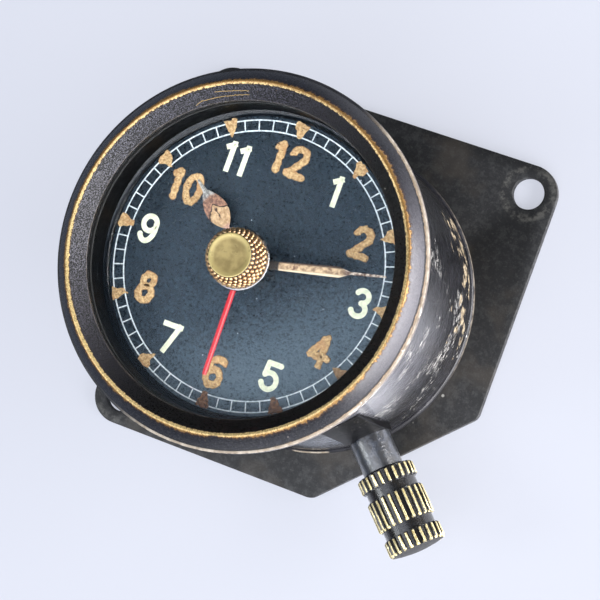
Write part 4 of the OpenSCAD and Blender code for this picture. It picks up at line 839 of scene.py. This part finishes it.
# Painted light: the blasted inner slope's pale grains are painted bright on the left and top, which face the
# lamps on the right, and near black on the right and bottom.
dust_and_lit_side = ring.ramp(ring.minus(ring.times(y, 0.5), x), -10.0, 20.0)
sandy = ring.step(sand, 0.45, 0.65, (2, 2, 3), ring.mix(dust_and_lit_side, (10, 10, 11), (76, 75, 84)))
smooth = ring.step(coarse, 0.35, 0.75, (3, 3, 8), (15, 15, 25))
smooth = ring.mix(ring.times(ring.ramp(sand, 0.52, 0.7), ring.ramp(y, 2.0, -16.0)), smooth, (52, 52, 54))
# A painted sheen: the smooth outer slope is painted pale grey round 3 o'clock, where the lamps on the right
# are reflected.
wear_and_sheen = ring.times(ring.near(around, 0.12, 0.85, 0.05), ring.ramp(coarse, 0.3, 0.6, 0.65, 1.0))
smooth = ring.mix(wear_and_sheen, smooth, (88, 86, 91))
paint = ring.mix(inside, smooth, sandy)
paint = ring.step(z, lip_z - 0.04, lip_z - 0.16, paint, (6, 6, 7))
outer_edge = ring.scaled(jag, 1.3, ring.ramp(broad, 0.3, 0.7, 25.48, 25.74))
inner_edge = ring.scaled(coarse, 0.7, 25.22)
past_outer = ring.minus(radius, outer_edge)
wear_and_highlight = ring.times(ring.ramp(past_outer, 0.05, -0.04),
                  ring.ramp(ring.minus(radius, inner_edge), -0.03, 0.05))
halo = ring.times(ring.ramp(past_outer, 0.34, 0.0), ring.ramp(radius, 25.4, 25.6))
ochre_side = ring.near(around, 1.7, 2.0, 0.7, 0.3)
ochre = ring.ramp(ring.sum("ADD", ring.scaled(coarse, 0.6, radius), ochre_side), 26.1, 26.5)
brass_tint = ring.mix(ochre, (222, 194, 134), (142, 108, 62))
brass_tint = ring.step(sand, 0.42, 0.32, brass_tint, (104, 76, 42))
colour = ring.mix(ring.times(halo, 0.8), paint, (60, 40, 24))
colour = ring.mix(wear_and_highlight, colour, brass_tint)
nicks = ring.times(ring.ramp(ring.cells(0.5, strip), 0.07, 0.04),
                   ring.ramp(ring.cloud(0.3, strip), 0.5, 0.62))
colour = ring.mix(ring.times(nicks, 0.8), colour, (186, 178, 166))
hooked = 0.0
for scratch_r, lean, middle, reach in ((24.13, 0.0, 2.01, 0.15), (24.02, -7.0, 2.18, 0.02),
                                       (24.72, 1.12, 1.96, 0.1)):
    off_line = ring.scaled(ring.minus(around, middle), -lean, ring.minus(radius, scratch_r))
    off_line = ring.sum("ABSOLUTE", ring.scaled(ring.minus(jag, 0.5), 0.3, off_line))
    beyond = ring.minus(ring.off(around, middle), reach)
    hooked = ring.most(hooked, ring.times(ring.ramp(off_line, 0.06, 0.02), ring.ramp(beyond, 0.01, 0.0)))
colour = ring.mix(ring.times(hooked, 0.75), colour, (160, 132, 80))
lip_line = ring.ramp(ring.scaled(coarse, -0.3, radius), lip_r - 0.06, lip_r - 0.12)
lip_line = ring.times(lip_line, ring.ramp(z, lip_z - 0.1, lip_z - 0.02))
colour = ring.mix(ring.times(lip_line, 0.3), colour, (128, 118, 106))
foot_wear = ring.ramp(ring.scaled(coarse, 0.4, radius), foot_r + 0.12, foot_r + 0.2)
foot_wear = ring.times(foot_wear, ring.near(around, 0.03, 1.2, 0.8))
colour = ring.mix(foot_wear, colour, (136, 116, 94))
blasted = ring.ramp(sand, 0.38, 0.6, 0.75, 0.2)
polish = ring.ramp(coarse, 0.3, 0.7, 0.32, 0.22)
ring.coat(colour, rough=ring.scaled(inside, ring.minus(blasted, polish), polish),
          metal=ring.times(wear_and_highlight, 0.45))
first = ring.relief(ring.times(inside, sand), 0.08)
ring.relief(ring.minus(ring.times(coarse, 0.5), wear_and_highlight), 0.03, first)
bm = turned([(skirt_out, skirt_z), (skirt_out, rim_z), (foot_r, rim_z), (foot_r, rim_z + 0.25, 0.15),
             (shoulder_r, shoulder_z, 0.6), (crest_r + 0.22, crest_z - 0.06, 0.12),
             (crest_r - 0.05, crest_z, 0.1), (crest_r - 0.28, crest_z - 0.1, 0.1), (lip_r, lip_z, 0.06),
             (lip_r, glass_top), (skirt_in, glass_top), (skirt_in, skirt_z)], steps=256)
piece("bezel_ring", bm, "case", "black_enamel", ring, "bezel")

# Winder: a brass knob turned in three ribbed bands with plain grooves between, patinated black. Fingers
# have rubbed the ribs' crests back to bright brass; the end is a low dark dome. It is pinned to the stem.
winder_start, winder_r, rib_depth, ribs, chamfer = 32.4, 4.675, 0.42, 24, 0.28
bands = ((0.0, 2.4), (3.9, 8.9), (10.4, 13.1))
groove_r = 4.13
dome = ((13.1, 4.2), (13.3, 3.4), (13.5, 2.0), (13.55, 0.9))
patina = Finish("rubbed_winder_brass", inputs={"Specular IOR Level": 0.9}, **along_stem)
along, across, up = patina.split()
radius = patina.span(across, up)
coarse = patina.cloud(1.6, detail=5)
fine = patina.cloud(5.0)
uneven = patina.scaled(patina.minus(coarse, 0.5), 0.2, radius)
wear_and_sheen = patina.ramp(uneven, winder_r - 0.12, winder_r - 0.05)
band_ends = [winder_start + high - chamfer / 2 for low, high in bands[1:]]
ends = patina.sum("MINIMUM", patina.off(along, band_ends[0]), patina.off(along, band_ends[1]))
above_valley = patina.ramp(radius, winder_r - rib_depth, winder_r - rib_depth + 0.12)
tongues = patina.times(patina.ramp(ends, 0.3, 0.14), above_valley)
wear_and_sheen = patina.most(wear_and_sheen, patina.times(tongues, patina.ramp(coarse, 0.35, 0.55)))
dark = patina.step(coarse, 0.35, 0.7, (12, 11, 12), (36, 33, 30))
brassy = patina.step(fine, 0.3, 0.7, (204, 180, 116), (250, 238, 186))
dome_start = winder_start + dome[0][0]
domed = patina.ramp(along, dome_start - 0.1, dome_start + 0.05)
dark = patina.mix(domed, dark, (8, 7, 9))
patina.coat(patina.mix(wear_and_sheen, dark, brassy), metal=patina.scaled(wear_and_sheen, 0.4, 0.1),
            rough=patina.scaled(domed, 0.55, patina.ramp(coarse, 0.3, 0.7, 0.32, 0.18)))
patina.relief(fine, 0.02)


def rib_radius(angle, crest):
    """Radius of the ribbed outline at an angle, for a crest radius that a chamfer may lower."""
    phase = (angle * ribs / (2 * math.pi)) % 1.0
    lobe = abs(phase - 0.5) * 2
    top = min(1.0, max(0.0, (lobe - 0.42) / 0.3))
    valley = winder_r - rib_depth
    if crest <= valley:
        return crest
    return max(valley, min(crest, valley + rib_depth * top * top * (3 - 2 * top)))


stations = []
for low, high in bands:
    stations += [(low, groove_r, False), (low, winder_r - chamfer, True), (low + chamfer, winder_r, True),
                 (high - chamfer, winder_r, True), (high, winder_r - chamfer, True), (high, groove_r, False)]
stations = stations[1:-1] + [(height, crest, False) for height, crest in dome]
bm = bmesh.new()
loop = bmesh.ops.create_circle(bm, segments=ribs * 10, radius=1.0)["verts"]
edges = list({e for v in loop for e in v.link_edges})
for index, (height, crest, ribbed) in enumerate(stations):
    for vert in loop:
        angle = math.atan2(vert.co.y, vert.co.x)
        size = rib_radius(angle, crest) if ribbed else crest
        vert.co = (math.cos(angle) * size, math.sin(angle) * size, height)
    if index == 0:
        first_loop = edges
    if index < len(stations) - 1:
        grown = bmesh.ops.extrude_edge_only(bm, edges=edges)["geom"]
        loop = [g for g in grown if isinstance(g, bmesh.types.BMVert)]
        edges = [g for g in grown if isinstance(g, bmesh.types.BMEdge)]
bmesh.ops.contextual_create(bm, geom=edges)
bmesh.ops.contextual_create(bm, geom=first_loop)
bm.transform(on_stem @ Matrix.Translation((0, 0, winder_start)))
piece("winder_ribbed", bm, "winder", "winder_brass", patina, "winding_crown", sharp=38)

# Studio: a pale floor under the plate, a sky that glows only overhead towards the front, two broad
# panels on the right and small fill lamps at the front and left. The camera looks down from the right.
floor_half = 3000.0
bm = bmesh.new()
bmesh.ops.create_grid(bm, x_segments=1, y_segments=1, size=floor_half)
floor = placed("floor", bm)
paper = Finish("pale_paper", rough=0.8)
# Painted light: for reflections and bounce light the floor is painted dark on the left and pale on the
# right, towards the lamps; the camera sees it evenly pale.
lamp_side = paper.ramp(paper.split()[0], -60.0, 40.0)
seen = paper.node("ShaderNodeLightPath").outputs["Is Camera Ray"]
paper.coat(paper.mix(seen, paper.mix(lamp_side, (110, 115, 126), (236, 237, 242)), (184, 187, 196)))
direct = paper.node("ShaderNodeEmission", {"Color": (229, 232, 244), "Strength": 1.02})
seen = paper.times(seen, 0.62)
lit = paper.node("ShaderNodeMixShader", {0: seen, 1: paper.shader.outputs[0], 2: direct.outputs[0]})
paper.feed(paper.tree.nodes["Material Output"].inputs["Surface"], lit.outputs[0])
floor.data.materials.append(paper.material)


class Sky(Finish):
    """The world's light, mixed as a finish is."""

    def __init__(self, world):
        world.use_nodes = True
        self.tree = world.node_tree


glow_towards, sky_level, glow_level = (0.089, -0.446, 0.891), 0.05, 3.5
scene.world = bpy.data.worlds.new("sky")
sky = Sky(scene.world)
look = sky.node("ShaderNodeTexCoord").outputs["Generated"]
facing = sky.node("ShaderNodeVectorMath", {0: look, 1: glow_towards},
                  operation="DOT_PRODUCT").outputs["Value"]
white_share = sky.node("ShaderNodeMapRange", {0: facing, 1: 0.8, 2: 0.9}).outputs[0]
background = sky.tree.nodes["Background"]
sky.feed(background.inputs["Color"], sky.mix(white_share, (188, 220, 255), (244, 246, 255)))
sky.feed(background.inputs["Strength"], sky.ramp(facing, 0.77, 0.93, sky_level, glow_level))
lamps_aim = Vector((0, 0, 0.04))


def panel(name, place, width, height, watts, tint):
    """A soft lamp of a given size that faces the clock."""
    lamp = bpy.data.lights.new(name, "AREA")
    lamp.shape, lamp.size, lamp.size_y = "RECTANGLE", width, height
    lamp.energy, lamp.color = watts, tint
    made = bpy.data.objects.new(name, lamp)
    made.location = place
    made.rotation_euler = (lamps_aim - Vector(place)).to_track_quat("-Z", "Y").to_euler()
    scene.collection.objects.link(made)


panel("right_panel", (0.67, 0.0, 0.12), 0.95, 0.16, 6.7, (1.0, 0.98, 1.0))
panel("high_panel", (0.62, 0.06, 0.33), 0.8, 0.2, 6.6, (1.0, 0.99, 1.0))
panel("front_panel", (0.36, -0.51, 0.31), 0.5, 0.18, 1.1, (0.97, 0.99, 1.0))
panel("left_lamp", (-0.52, -0.31, 0.53), 0.24, 0.24, 1.8, (0.93, 0.97, 1.0))

camera = bpy.data.cameras.new("camera")
camera.lens, camera.sensor_width = 136.508, 36.0
camera_at = bpy.data.objects.new("camera", camera)
camera_at.location = (0.106404, -0.008824, 0.3621)
camera_at.rotation_euler = [math.radians(a) for a in (6.93963, 15.49027, 20.78290)]
scene.collection.objects.link(camera_at)
scene.camera = camera_at
scene.view_settings.view_transform = "Standard"
